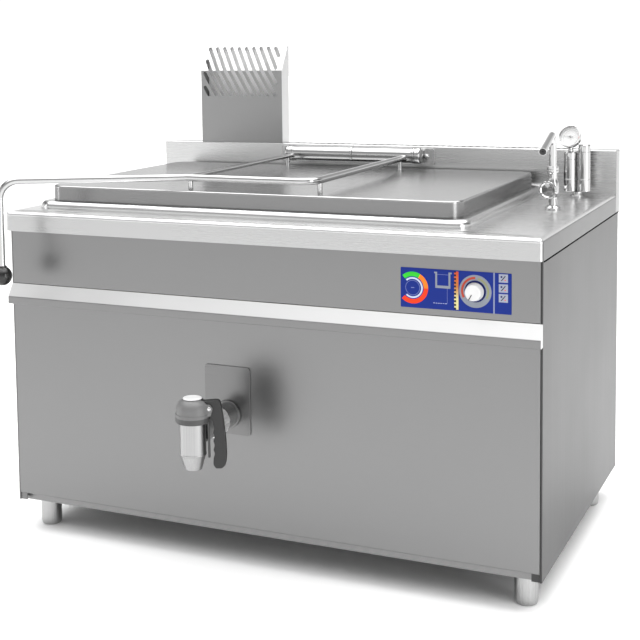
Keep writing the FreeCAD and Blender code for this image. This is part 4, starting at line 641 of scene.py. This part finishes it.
bmesh.ops.rotate(flue, cent=(0, flue_low.y, FLUE_BEND), verts=[v for v in flue.verts if v.co.z > FLUE_BEND + TOUCH],
                 matrix=Matrix.Rotation(-math.atan2(slope_run, slope_rise), 3, "X"))
side_line = [(flue_low.y, flue_low.z), (flue_high.y, flue_low.z), (flue_high.y, flue_high.z),
             (flue_high.y - LAND, flue_high.z), (flue_low.y, FLUE_BEND)]
for x in (flue_low.x, flue_high.x):
    flue.faces.new([flue.verts.new((x, y, z)) for y, z in side_line])
for (near_y, near_z), (far_y, far_z) in zip(side_line[1:3], side_line[2:4]):
    flue.faces.new([flue.verts.new(spot) for spot in (
        (flue_low.x, near_y, near_z), (flue_high.x, near_y, near_z), (flue_high.x, far_y, far_z),
        (flue_low.x, far_y, far_z))])
finished(flue, "flue_head", flue_steel, ["flue_chimney"], wall=0.001, crease=20)

# A pale sheet on the flue's inner back: its pale tone is painted light, seen through the slots.
lining = slab((flue_low.x + 0.002, flue_high.y - 0.0024, flue_low.z + 0.001),
              (flue_high.x - 0.002, flue_high.y - 0.0014, flue_high.z - 0.002), top=0.0003)
finished(lining, "flue_inner_back", flue_back_painted_light)

# %% [markdown]
# ## The lid
# The lid is a shallow pan of thick sheet with wide corners and a deep skirt. Two bent tubes make its
# frame: one bar comes from the hinge, bends along the front and runs on as the handle; a thinner rod ties the corner
# back to the hinge. Four posts stand between the frame and the pan, each in a small collar of weld.
# %% Lid pan
LID_CORNER, LID_ROUND = 0.042, 0.005
pan = slab(*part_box("lid_pan"), LID_CORNER, LID_ROUND, open_faces="B")
finished(pan, "lid_shell", lid_steel, ["lid_pan"], body="lid", wall=SHEET)

# %% Lid frame, rod and posts
TUBE_R, ROD_R, POST_R, HINGE_R = 0.009, 0.006, 0.005, 0.021
frame_low, frame_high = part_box("lid_frame")
post_low, post_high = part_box("lid_posts")
shaft_low, shaft_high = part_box("hinge_shaft")
tube_z = frame_high.z - TUBE_R
rail_x, handle_x = frame_high.x - TUBE_R, frame_low.x + TUBE_R
handle_y = frame_low.y + TUBE_R
rod_x = middle("lid_brace").x
bar_y = post_low.y + POST_R - 3 * TUBE_R
hinge_y, hinge_z = middle("hinge_shaft").yz
welded_y = hinge_y - HINGE_R * 0.9

rail = bent_bar([(rail_x, welded_y, tube_z), (rail_x, bar_y, tube_z), (rod_x, bar_y, tube_z),
                 (handle_x, handle_y, tube_z), (handle_x, handle_y, frame_low.z)],
                TUBE_R, (0.045, 0.02, 0.048))
finished(rail, "lid_rail_and_handle", tube_steel, ["lid_frame"], body="lid")

tie = bent_bar([(rod_x, bar_y + TUBE_R * 0.8, tube_z), (rod_x, welded_y, tube_z)], ROD_R)
absorb(tie, spun([(ROD_R, 0), (ROD_R + 0.0025, 0.001, 0.001), (ROD_R, 0.005)],
                 (rod_x, bar_y + TUBE_R * 0.86, tube_z), (0, 1, 0), 24))
finished(tie, "lid_tie_rod", tube_steel, ["lid_brace"], body="lid")

posts = bmesh.new()
for x, y in ((rod_x, bar_y + 3 * TUBE_R), (rail_x, bar_y + 0.045), (rod_x, post_high.y - POST_R),
             (rail_x, post_high.y - POST_R)):
    under = tube_z - (TUBE_R if x == rail_x else ROD_R) * 0.8
    absorb(posts, spun([(0, post_low.z), (POST_R + 0.0022, post_low.z, 0.0004), (POST_R + 0.0012, post_low.z + 0.0018),
                        (POST_R + 0.0012, under), (0, under)], (x, y, 0), steps=24))
finished(posts, "lid_support_posts", tube_steel, ["lid_posts"], body="lid")

# %% Ball knob
ball_low, ball_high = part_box("ball_knob")
ball_r = (ball_high.x - ball_low.x) / 2
ball_centre = middle("ball_knob")
ball_centre.z = ball_low.z + ball_r
ball = bmesh.new()
bmesh.ops.create_uvsphere(ball, u_segments=48, v_segments=32, radius=ball_r,
                          matrix=Matrix.Translation(ball_centre))
bmesh.ops.bisect_plane(ball, geom=ball.verts[:] + ball.edges[:] + ball.faces[:], clear_outer=True,
                       plane_co=ball_centre + Vector((0, 0, ball_r * 0.88)), plane_no=(0, 0, 1))
bmesh.ops.holes_fill(ball, edges=[e for e in ball.edges if len(e.link_faces) == 1], sides=0)
absorb(ball, spun([(0, 0), (ball_r * 0.5, 0), (ball_r * 0.5, 0.003, 0.001), (0.0092, 0.004, 0.0005), (0, 0.004)],
                  ball_centre + Vector((0, 0, ball_r * 0.86)), steps=32))
finished(ball, "handle_ball", gloss_black, ["ball_knob"], body="lid")

# %% [markdown]
# ## The hinge
# Two lengths of polished tube turn on a fixed shaft that three lugs hold off a back plate. Each tube ends in a pair
# of collars; the shaft shows only as a domed head outside each outer lug.
# %% Hinge tubes, shaft and back plate
tube_low, tube_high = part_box("hinge_tube")
plate_low, plate_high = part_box("hinge_plate")
COLLAR_R = 0.0235
LUG_T, MIDDLE_LUG_T, LUG_R = 0.008, 0.006, 0.0225
SLEEVE_BORE, NECK_R = 0.0105, COLLAR_R - 0.0008
PLATE_T, PLATE_Z, PLATE_HALF, PLATE_CORNER = 0.004, 0.94, 0.024, 0.007
BOLT_SPREAD = 0.218
middle_x = middle("hinge_tube").x
half = (tube_high.x - tube_low.x) / 2
inner = MIDDLE_LUG_T / 2 + 0.0006

tubes = bmesh.new()
for side in (-1, 1):
    absorb(tubes, spun([(SLEEVE_BORE, -half), (COLLAR_R, -half, 0.001), (COLLAR_R, 0.0045 - half, 0.001),
                        (HINGE_R, 0.005 - half), (HINGE_R, 0.0062 - half), (NECK_R, 0.0068 - half, 0.0006),
                        (NECK_R, 0.0095 - half, 0.0006), (HINGE_R, 0.01 - half), (HINGE_R, -inner, 0.001),
                        (SLEEVE_BORE, -inner), (SLEEVE_BORE, -half)],
                       (middle_x, hinge_y, hinge_z), (-side, 0, 0), 64))
finished(tubes, "hinge_sleeves", tube_steel, ["hinge_tube"], body="lid")

heads = bmesh.new()
outer_face = (shaft_high.x - shaft_low.x) / 2
lug_face = outer_face - 0.011
for side in (-1, 1):
    absorb(heads, spun([(0, lug_face - 0.001), (COLLAR_R, lug_face, 0.0008), (COLLAR_R, outer_face - 0.002, 0.007),
                        (0, outer_face)], (middle_x, hinge_y, hinge_z), (side, 0, 0), 48))
absorb(heads, bent_bar([(middle_x - lug_face, hinge_y, hinge_z), (middle_x + lug_face, hinge_y, hinge_z)], 0.0099))
finished(heads, "hinge_shaft_heads", tube_steel, ["hinge_shaft"])

face_y = plate_high.y - PLATE_T
backing = sheet(plate_low.x, plate_high.x, PLATE_Z - PLATE_HALF, PLATE_Z + PLATE_HALF, plate_high.y, -PLATE_T,
                PLATE_CORNER)
for start, thick in ((middle_x - lug_face, LUG_T), (middle_x - MIDDLE_LUG_T / 2, MIDDLE_LUG_T),
                     (middle_x + lug_face - LUG_T, LUG_T)):
    absorb(backing, spun([(0, 0), (LUG_R, 0, 0.001), (LUG_R, thick, 0.001), (0, thick)],
                         (start, hinge_y, hinge_z), (1, 0, 0), 48))
    absorb(backing, slab((start, hinge_y, hinge_z - 0.0155), (start + thick, face_y, hinge_z + 0.0155)))
finished(backing, "hinge_backing", satin_steel, ["hinge_plate"])

bolts = bmesh.new()
for x in (middle_x - BOLT_SPREAD, middle_x + BOLT_SPREAD):
    absorb(bolts, spun([(0, 0), (0.0085, 0, 0.0005), (0.0085, 0.0012, 0.0004), (0.0072, 0.0014),
                        (0.006, 0.0046, 0.002), (0, 0.0052)], (x, face_y, PLATE_Z), (0, -1, 0), 32))
finished(bolts, "hinge_dome_bolts", chrome, ["hinge_bolts"])

# %% [markdown]
# ## Feet
# Each foot is a steel cup on a stem with a strong grain running up and down it, and its sole is rounded off.
# %% Levelling feet
STEM_R, CUP_TOP = 0.008, 0.0755
for name, body in (("foot_front_left", "foot_fl"), ("foot_front_right", "foot_fr"),
                   ("foot_rear_left", "foot_rl"), ("foot_rear_right", "foot_rr")):
    foot_low, foot_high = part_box(name)
    radius = (foot_high.x - foot_low.x) / 2
    foot = spun([(0, 0), (radius - 0.002, 0, 0.004), (radius, 0.009, 0.004), (radius, CUP_TOP - 0.001, 0.0012),
                 (radius - 0.002, CUP_TOP), (STEM_R, CUP_TOP), (STEM_R, foot_high.z, 0.001), (0, foot_high.z)],
                (*middle(name).xy, 0))
    finished(foot, name + "_cup", foot_steel, [name], body=body)

# %% [markdown]
# ## The drain tap
# The tap hangs on a pipe in front of the panel. Its body is turned steel with a tapered outlet, its cap a black
# dome and its handle a bent black lever whose grip has finger grooves. The lever and its pin are drawn along the
# lever and then turned with it about the tap's own upright axis.
# %% Tap body, pipe and union
body_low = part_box("drain_body")[0]
cover_low, cover_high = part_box("drain_plate")
BODY_R, PIPE_R = 0.0305, 0.03
OUTLET_Z, SEAT_Z, BODY_TOP = 0.299, 0.334, 0.409
LEVER_TURN = math.radians(22)
TAP = Vector((middle("drain_body").x, body_low.y + BODY_R, 0))
pipe_z = middle("drain_union").z
along_lever = Matrix.Translation(TAP) @ Matrix.Rotation(LEVER_TURN, 4, "Z")


def lever_spot(depth):
    return lambda u, v: along_lever @ Vector((u, depth, v))


def lever_way(depth):
    return along_lever.to_3x3() @ Vector((0, depth, 0))


body = spun([(0.0165, OUTLET_Z), (0.02, OUTLET_Z, 0.001), (0.03, 0.3325, 0.002), (0.0312, 0.3335, 0.0006),
             (0.0312, 0.336, 0.0006), (BODY_R, 0.337), (BODY_R, BODY_TOP, 0.001), (0.027, BODY_TOP),
             (0.027, 0.34), (0.014, 0.34, 0.0015), (0.014, SEAT_Z), (0.0252, SEAT_Z), (0.0165, OUTLET_Z)],
            TAP, steps=72)
finished(body, "tap_casting", turned_steel, ["drain_body"])

line_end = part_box("drain_pipe")[1]
sump_y = line_end.y - PIPE_R
line = bent_bar([(TAP.x, TAP.y + 0.0285, pipe_z), (TAP.x, sump_y, pipe_z), (TAP.x, sump_y, line_end.z)],
                PIPE_R, (0.0305,), 56, open_end=True)
finished(line, "drain_line_tube", satin_steel, ["drain_pipe"], wall=0.003)

collar = spun([(PIPE_R, 0), (0.0345, 0, 0.0012), (0.0345, 0.007, 0.0004), (PIPE_R, 0.007), (PIPE_R, 0)],
              (TAP.x, cover_low.y - 0.007, pipe_z), (0, 1, 0), 64)
finished(collar, "drain_line_flange", plate_steel)

finished(copied("drain_union"), "fluted_union", bright_steel, ["drain_union"], crease=24)

cover = sheet(cover_low.x, cover_high.x, cover_low.z, cover_high.z, cover_high.y, cover_low.y - cover_high.y, 0.008)
finished(cover, "drain_cover", plate_steel, ["drain_plate"])

# %% Cap, disc and pin
finished(copied("drain_cap"), "black_dome", cap_nylon, ["drain_cap"], crease=32)

coil_spring = finished(copied("valve_spring"), "coil_spring", satin_steel, ["valve_spring"],
                       body="drain_valve")
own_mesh(coil_spring)

disc_low, disc_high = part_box("cap_button")
disc = spun([(0, disc_low.z), (0.022, disc_low.z), (0.022, disc_high.z - 0.0005, 0.0012),
             (0.018, disc_high.z, 0.002), (0, disc_high.z)], TAP, steps=64)
finished(disc, "cap_disc", pale_plastic, ["cap_button"])

PIVOT = Vector((0.039, 0, 0.443))
pin = spun([(0, -0.0146), (0.003, -0.0146, 0.0005), (0.003, 0.0146), (0.005, 0.0146, 0.0003),
            (0.005, 0.0162, 0.001), (0.0018, 0.0172, 0.0008), (0.0018, 0.0164), (0, 0.0164)],
           along_lever @ PIVOT, lever_way(-1), 32)
finished(pin, "lever_rivet", chrome, ["lever_pin"])

# %% Lever with a scalloped grip
HALF = 0.009
SCALLOPS, PITCH, DEPTH, STEPS = 4, 0.02, 0.0026, 6
GRIP_FOOT, GRIP_BACK = 0.326, 0.048
FLARE, FLARE_TOP, FLARE_RUN = 0.3, 0.436, 0.03
grip_inside = []
for index in range(SCALLOPS):
    base = GRIP_FOOT + index * PITCH
    for step in range(STEPS + 1):
        share = step / STEPS
        grip_inside.append((GRIP_BACK + DEPTH * math.sin(math.pi * share), base + 0.001 + share * (PITCH - 0.002)))
lever_outline = ([(0.009, 0.4412, 0.001), (0.009, 0.45, 0.002), (0.024, 0.459, 0.003), (0.064, 0.462, 0.008),
                  (0.0705, 0.425, 0.01), (0.0765, 0.37, 0.012), (0.078, 0.332, 0.01), (0.076, 0.311, 0.005),
                  (0.067, 0.302, 0.004), (0.053, 0.302, 0.002), (0.047, 0.31, 0.003), (0.047, 0.318, 0.003)]
                 + grip_inside
                 + [(0.048, 0.412, 0.004), (0.033, 0.431, 0.004), (0.016, 0.439, 0.002), (0.012, 0.4412)])
lever = pushed(lever_outline, lever_spot(-HALF), lever_way(2 * HALF), 0.0016)
upright = along_lever.inverted()
for vert in lever.verts:
    spot = upright @ vert.co
    spot.y *= 1 + FLARE * min(1.0, max(0.0, (FLARE_TOP - spot.z) / FLARE_RUN))
    vert.co = along_lever @ spot
finished(lever, "grooved_lever", black_nylon, ["drain_lever"], body="drain_handle", crease=40)

# %% [markdown]
# ## The control panel
# A printed foil carries the settings. Its drawing is plain shapes, so the shader can work it out: a ring is a band of
# distances from a point, an arc is a ring within a range of angles, a bar is a range of x and z. Each shape becomes a
# mask of 0 and 1 that lays its colour over the one before.
# %% Masks of plain shapes
def between(value, low, high):
    return (value > low) * (value < high)


def polar(x, z, centre_x, centre_z):
    """Distance from a centre, and the clock hour of the direction (0 at the top, growing clockwise)."""
    dx, dz = x - centre_x, z - centre_z
    squares = dx * dx + dz * dz
    turn = dx.maths("ARCTAN2", dx, dz) / (math.pi / 6)
    return squares.maths("SQRT", squares), turn + (turn < 0) * 12


foil, foil_shader, foil_place = finish("control_foil", (0.01, 0.032, 0.26, 1), 0.0, 0.45, Specular_IOR_Level=0.12)
x, z = axis(foil_place, 0), axis(foil_place, 2)
RED, ORANGE, GREEN = (0.74, 0.045, 0.012, 1), (0.85, 0.19, 0.02, 1), (0.035, 0.5, 0.035, 1)
BRICK, RUST, STRAW = (0.52, 0.065, 0.03, 1), (0.48, 0.17, 0.045, 1), (0.6, 0.54, 0.26, 1)
PALE, DIM, OLIVE = (0.48, 0.53, 0.66, 1), (0.13, 0.16, 0.34, 1), (0.26, 0.27, 0.13, 1)
INK_GREY, NAVY, BLACK = (0.22, 0.24, 0.28, 1), (0.008, 0.014, 0.09, 1), (0.012, 0.012, 0.02, 1)
DIAL_SPOT, KNOB_SPOT, ICONS_Z = (0.4015, 0.7215), (0.5465, 0.7225), (0.7555, 0.7333, 0.7115)


def block(left, right, low, high):
    return between(x, left, right) * between(z, low, high)


def repeated(value):
    return value.maths("FRACT", value)


far, hour = polar(x, z, *DIAL_SPOT)
band = between(far, 0.026, 0.0363)
layers = [
    (GREEN, band * ((hour > 10.6) + (hour < 1.0) > 0.5)), (ORANGE, band * between(hour, 1.0, 3.0)),
    (RED, band * between(hour, 3.0, 7.5)), (PALE, between(far, 0.02, 0.0238) * ((hour > 10.6) + (hour < 7.4) > 0.5)),
    (DIM, between(far, 0.016, 0.0172)), (DIM, block(0.3978, 0.4052, 0.7205, 0.7225)),
    (INK_GREY, block(0.4547, 0.459, 0.726, 0.76)), (INK_GREY, block(0.4853, 0.4896, 0.726, 0.76)),
    (INK_GREY, block(0.4547, 0.4896, 0.7245, 0.7305)), (INK_GREY, block(0.452, 0.459, 0.7575, 0.761)),
    (INK_GREY, block(0.4853, 0.4927, 0.7575, 0.761)), (DIM, block(0.459, 0.4853, 0.7548, 0.7558)),
    (DIM, block(0.482, 0.4829, 0.69, 0.7245)),
    (PALE, (repeated(x * 180) < 0.6) * block(0.45, 0.4829, 0.6895, 0.6907))]
rise = (z - 0.677) / 0.088
strip = rise.node("ValToRGB", {"stops": [(0.0, STRAW), (0.3, STRAW), (0.6, RUST), (1.0, BRICK)]}, {0: rise})
dashes = (repeated((z - 0.6785) / 0.0083) < 0.55) * block(0.4985, 0.5028, 0.6785, 0.7645)
far, hour = polar(x, z, *KNOB_SPOT)
layers += [
    (strip, block(0.4985, 0.5082, 0.6785, 0.7645)), (BLACK, dashes), (INK_GREY, between(far, 0.0245, 0.0368)),
    (NAVY, far < 0.0245), ((0.42, 0.06, 0.035, 1), between(far, 0.0275, 0.0325) * between(hour, 8.0, 12.0)),
    (OLIVE, between(far, 0.0275, 0.0315) * between(hour, 0.4, 4.0)), ((0.2, 0.23, 0.34, 1), between(x, 0.5872, 0.5906))]
for icon_z in ICONS_Z:
    slope = (x - 0.6097) - (z - icon_z) * 0.8
    layers += [
        ((0.29, 0.31, 0.38, 1), block(0.5995, 0.62, icon_z - 0.0092, icon_z + 0.0092)),
        (BLACK, between(slope, -0.0012, 0.0012) * between(z, icon_z - 0.006, icon_z + 0.0055)),
        (NAVY, block(0.6035, 0.6075, icon_z + 0.001, icon_z + 0.005)),
        (RED, block(0.6125, 0.615, icon_z - 0.0052, icon_z - 0.0026))]
ink = mixed(noise(foil_place, 9.0), (0.007, 0.02, 0.165, 1), (0.01, 0.027, 0.21, 1))
for colour, mask in layers:
    ink = mixed(mask, ink, colour)
wire(foil_shader, "Base Color", ink)
foil_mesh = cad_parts["control_overlay"].data
foil_mesh.materials.clear()
foil_mesh.materials.append(foil)
print("foil has", len(foil.node_tree.nodes), "nodes")

# %% [markdown]
# ## The knob
# The knob is spun from its outline. A narrow dark bar, set in its face, points at the setting; it rides with the knob.
# %% Knob and pointer
knob_low, knob_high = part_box("control_knob")
KNOB = middle("control_knob")
KNOB.y = knob_low.y
KNOB_R, POINTER_TURN = 0.0204, math.radians(29)
spindle_end = knob_high.y - knob_low.y
knob = spun([(0, 0.0006), (0.014, 0, 0.002), (0.018, 0.0004, 0.0025), (0.0196, 0.0145, 0.004),
             (KNOB_R, 0.0158, 0.001), (KNOB_R, 0.02, 0.0006), (0.019, 0.02), (0.019, 0.0185), (0.004, 0.0185),
             (0.004, spindle_end), (0, spindle_end)], KNOB, (0, 1, 0), 64)
finished(knob, "dial_knob", pale_plastic, ["control_knob"], body="knob")
pointer = slab((-0.0009, -0.0008, -0.0185), (0.0009, 0.0012, -0.0045), 0.0005)
bmesh.ops.transform(pointer, matrix=Matrix.Translation(KNOB) @ Matrix.Rotation(POINTER_TURN, 4, "Y"),
                    verts=pointer.verts)
finished(pointer, "knob_pointer", black_nylon, body="knob")

# %% [markdown]
# ## The filling tap
# A chromed pillar with a waist, a hand wheel on a side bonnet and a long swivel spout. The spout's open end shows as
# a black ring: a black disc just inside it is painted shade, standing in for the dark inside the bore.
# %% Pillar, wheel and spout
pillar_low, pillar_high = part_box("tap_body")
FLANGE_R = 0.0205
SPOUT_R, SPOUT_BEND, SPOUT_REACH = 0.0092, 0.027, 0.2
WHEEL_TURN, SPOUT_TURN = math.radians(-9), math.radians(6)
PILLAR = Vector((0.61, pillar_high.y - FLANGE_R, pillar_low.z))


def forward(turn):
    """The direction towards the front, turned to the right about the upright axis."""
    return Vector((math.sin(turn), -math.cos(turn), 0))


pillar = spun([(0.008, 0), (FLANGE_R, 0, 0.0004), (FLANGE_R, 0.005, 0.002), (0.0125, 0.009, 0.003),
               (0.0095, 0.03, 0.004), (0.0145, 0.042, 0.005), (0.0145, 0.064, 0.005), (0.0105, 0.076, 0.003),
               (0.0105, 0.09, 0.002), (0.014, 0.093, 0.0015), (0.014, 0.098, 0.001), (0.0134, 0.0985),
               (0.0134, 0.0993), (0.014, 0.0998, 0.001), (0.014, 0.108, 0.002), (0.0082, 0.108)], PILLAR, steps=64)
absorb(pillar, spun([(0.0105, 0.008), (0.0105, 0.022, 0.0006), (0.0095, 0.0228), (0.0095, 0.0238),
                     (0.0105, 0.0244, 0.0006), (0.0105, 0.026, 0.001), (0.0052, 0.026)],
                    PILLAR + Vector((0, 0, 0.052)), forward(WHEEL_TURN), 48))
finished(pillar, "tap_pillar", chrome, ["tap_body"])

finished(copied("tap_wheel"), "tap_hand_wheel", chrome, ["tap_wheel"], body="water_wheel", crease=28)

mouth = PILLAR + forward(SPOUT_TURN) * SPOUT_REACH + Vector((0, 0, 0.161))
knee = PILLAR + Vector((0, 0, 0.191))
spout = bent_bar([PILLAR + Vector((0, 0, 0.097)), knee, mouth], SPOUT_R, (SPOUT_BEND,), 40, open_end=True)
finished(spout, "swivel_spout", chrome, ["tap_spout"], body="spout", wall=0.001)
# A black disc just inside the spout's mouth is painted shade: it stands in for the dark inside the bore.
bore_shade_disc = spun([(0.0018, -0.01), (0.0081, -0.01), (0.0081, 0.0002), (0.0018, -0.0006), (0.0018, -0.01)],
           mouth, mouth - knee, 32)
finished(bore_shade_disc, "spout_painted_shade", seal_rubber, body="spout")

# %% [markdown]
# ## The safety group and its gauge
# Two chromed cylinders stand on one nipple: the safety valve on the left, the vacuum breaker on the right, each with
# a thin ring. The gauge leans back towards the cook on a short stem; its dial is drawn by its shader.
# %% Cylinders and nipple
GROUP = Vector((*middle("safety_base").xy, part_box("safety_base")[0].z))


def ringed(node, name, side, radius):
    """One cylinder with its ring and a turned groove under its cap."""
    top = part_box(node)[1].z - GROUP.z
    cylinder = spun([(0, 0.012), (radius, 0.012, 0.002), (radius, 0.044), (radius + 0.001, 0.0445, 0.0004),
                     (radius + 0.001, 0.0465, 0.0004), (radius, 0.047), (radius, top - 0.021),
                     (radius - 0.0008, top - 0.0205), (radius - 0.0008, top - 0.019), (radius, top - 0.0185),
                     (radius, top, 0.004), (0, top)], GROUP + Vector((side * 0.0185, 0, 0)), steps=64)
    finished(cylinder, name, chrome, [node])


ringed("safety_valve", "safety_valve_barrel", -1, 0.018)
ringed("vacuum_breaker", "vacuum_breaker_barrel", 1, 0.0165)
nipple = spun([(0, 0), (0.019, 0, 0.0004), (0.019, 0.003, 0.0008), (0.012, 0.0032, 0.0006), (0.012, 0.012),
               (0, 0.012)], GROUP, steps=48)
finished(nipple, "group_nipple", chrome, ["safety_base"])

# %% Gauge case, dial, glass and needle
GAUGE_TURN, GAUGE_TILT = math.radians(-14), math.radians(30)
GAUGE_WAY = forward(GAUGE_TURN) * math.cos(GAUGE_TILT) + Vector((0, 0, math.sin(GAUGE_TILT)))
GAUGE = middle("gauge_glass") + GAUGE_WAY * 0.001
case = spun([(0, -0.02), (0.0275, -0.02, 0.003), (0.0295, -0.004, 0.001), (0.0315, -0.004, 0.0006),
             (0.0315, 0.002, 0.0012), (0.0297, 0.002, 0.0004), (0.0295, -0.002), (0.0275, -0.002),
             (0.0275, -0.009), (0, -0.009)], GAUGE, GAUGE_WAY, 72)
stem_foot = Vector((GAUGE.x, GROUP.y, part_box("safety_valve")[1].z))
stem_height = (GAUGE - GAUGE_WAY * 0.012 - stem_foot).z
absorb(case, spun([(0, 0), (0.0075, 0, 0.0008), (0.0075, 0.005, 0.0008), (0.006, 0.0055), (0.006, stem_height),
                   (0, stem_height)], stem_foot, steps=32))
finished(case, "gauge_housing", chrome, ["gauge_case"])

dial_right = Vector((0, 0, 1)).cross(GAUGE_WAY).normalized()
dial_up = GAUGE_WAY.cross(dial_right).normalized()
dial_paint, dial_shader, dial_place = finish("dial_paint", grey(0.7), 0.0, 0.5)
offset = dial_place.node("VectorMath", {"operation": "SUBTRACT"}, {0: dial_place, 1: GAUGE})
dial_x, dial_z = (offset.node("VectorMath", {"operation": "DOT_PRODUCT"}, {0: offset, 1: way}, output=1)
                  for way in (dial_right, dial_up))
far, hour = polar(dial_x, dial_z, 0.0, 0.0)
fine = (repeated(hour * 5) < 0.16) * between(far, 0.0195, 0.0225)
coarse = (repeated(hour) < 0.06) * between(far, 0.0175, 0.0225)
marks = (fine + coarse > 0.5) * ((hour < 4.6) + (hour > 7.4))
face_ink = mixed(marks, mixed(noise(dial_place, 30.0), grey(0.62), grey(0.74)), grey(0.03))
face_ink = mixed(between(far, 0.0228, 0.0245) * between(hour, 2.6, 4.6), face_ink, RED)
wire(dial_shader, "Base Color", face_ink)
dial = spun([(0.0016, -0.0088), (0.0272, -0.0088)], GAUGE, GAUGE_WAY, 64)
finished(dial, "gauge_dial", dial_paint)

clear, clear_shader, clear_place = finish("clear_glass", grey(0.9), 0.0, 0.03, Alpha=0.12, IOR=1.5)
wire(clear_shader, "Roughness", noise(clear_place, 60.0) * 0.02 + 0.02)
pane = spun([(0, -0.002), (0.0294, -0.002), (0.0294, 0, 0.0004), (0, 0.0006)], GAUGE, GAUGE_WAY, 64)
finished(pane, "gauge_pane", clear, ["gauge_glass"])

# %% [markdown]
# ## The studio
# The picture shows the kettle on a pure white ground. The steel looks mid-grey on its upright faces and almost white
# where it faces up, so the light comes mostly from above. A big soft panel overhead, a weak strip at each side and a
# pale surround give that; the floor is a wide pale sheet that carries a faint shadow.
# %% Floor, surround and lights
floor_mesh = bpy.data.meshes.new("floor")
bm = bmesh.new()
bmesh.ops.create_grid(bm, x_segments=1, y_segments=1, size=40.0)
bm.to_mesh(floor_mesh)
bm.free()
floor = bpy.data.objects.new("floor", floor_mesh)
bpy.context.scene.collection.objects.link(floor)
floor_paint = finish("floor_paint", grey(0.97), 0.0, 0.7)[0]
floor_mesh.materials.append(floor_paint)

world = bpy.data.worlds.new("studio")
world.use_nodes = True
bpy.context.scene.world = world
background = world.node_tree.nodes["Background"]
background.inputs["Color"].default_value = grey(1.0)
sky = Socket(world.node_tree).node("TexCoord")
across, height = axis(sky, 0), axis(sky, 2)
beam = 0.56 + (1 - height.smooth(0.16, 0.34)) * 0.52 + height.smooth(0.6, 0.86) * 2.4
side_band = across.maths("ABSOLUTE", across)
beam = beam * (1 - side_band.smooth(0.62, 0.74) * (1 - side_band.smooth(0.84, 0.94)) * height.smooth(0.1, 0.2) * 0.7)
world.node_tree.links.new(beam.output, background.inputs["Strength"])
bpy.context.scene.view_settings.view_transform = "Standard"


def soft_panel(name, place, aim, size, power):
    light = bpy.data.lights.new(name, "AREA")
    light.shape = "RECTANGLE"
    light.size, light.size_y = size
    light.energy = power
    lamp = bpy.data.objects.new(name, light)
    bpy.context.scene.collection.objects.link(lamp)
    lamp.location = place
    lamp.rotation_mode = "QUATERNION"
    lamp.rotation_quaternion = (Vector(aim) - Vector(place)).to_track_quat("-Z", "Y")


soft_panel("overhead", (0.0, 0.2, 3.6), (0.0, 0.0, 0.8), (6.4, 3.0), 88.0)
soft_panel("right_strip", (3.1, -1.3, 1.2), (0.0, 0.0, 0.9), (0.9, 2.4), 26.0)
soft_panel("left_strip", (-3.1, -1.4, 1.2), (0.0, 0.0, 0.9), (0.35, 2.4), 10.0)
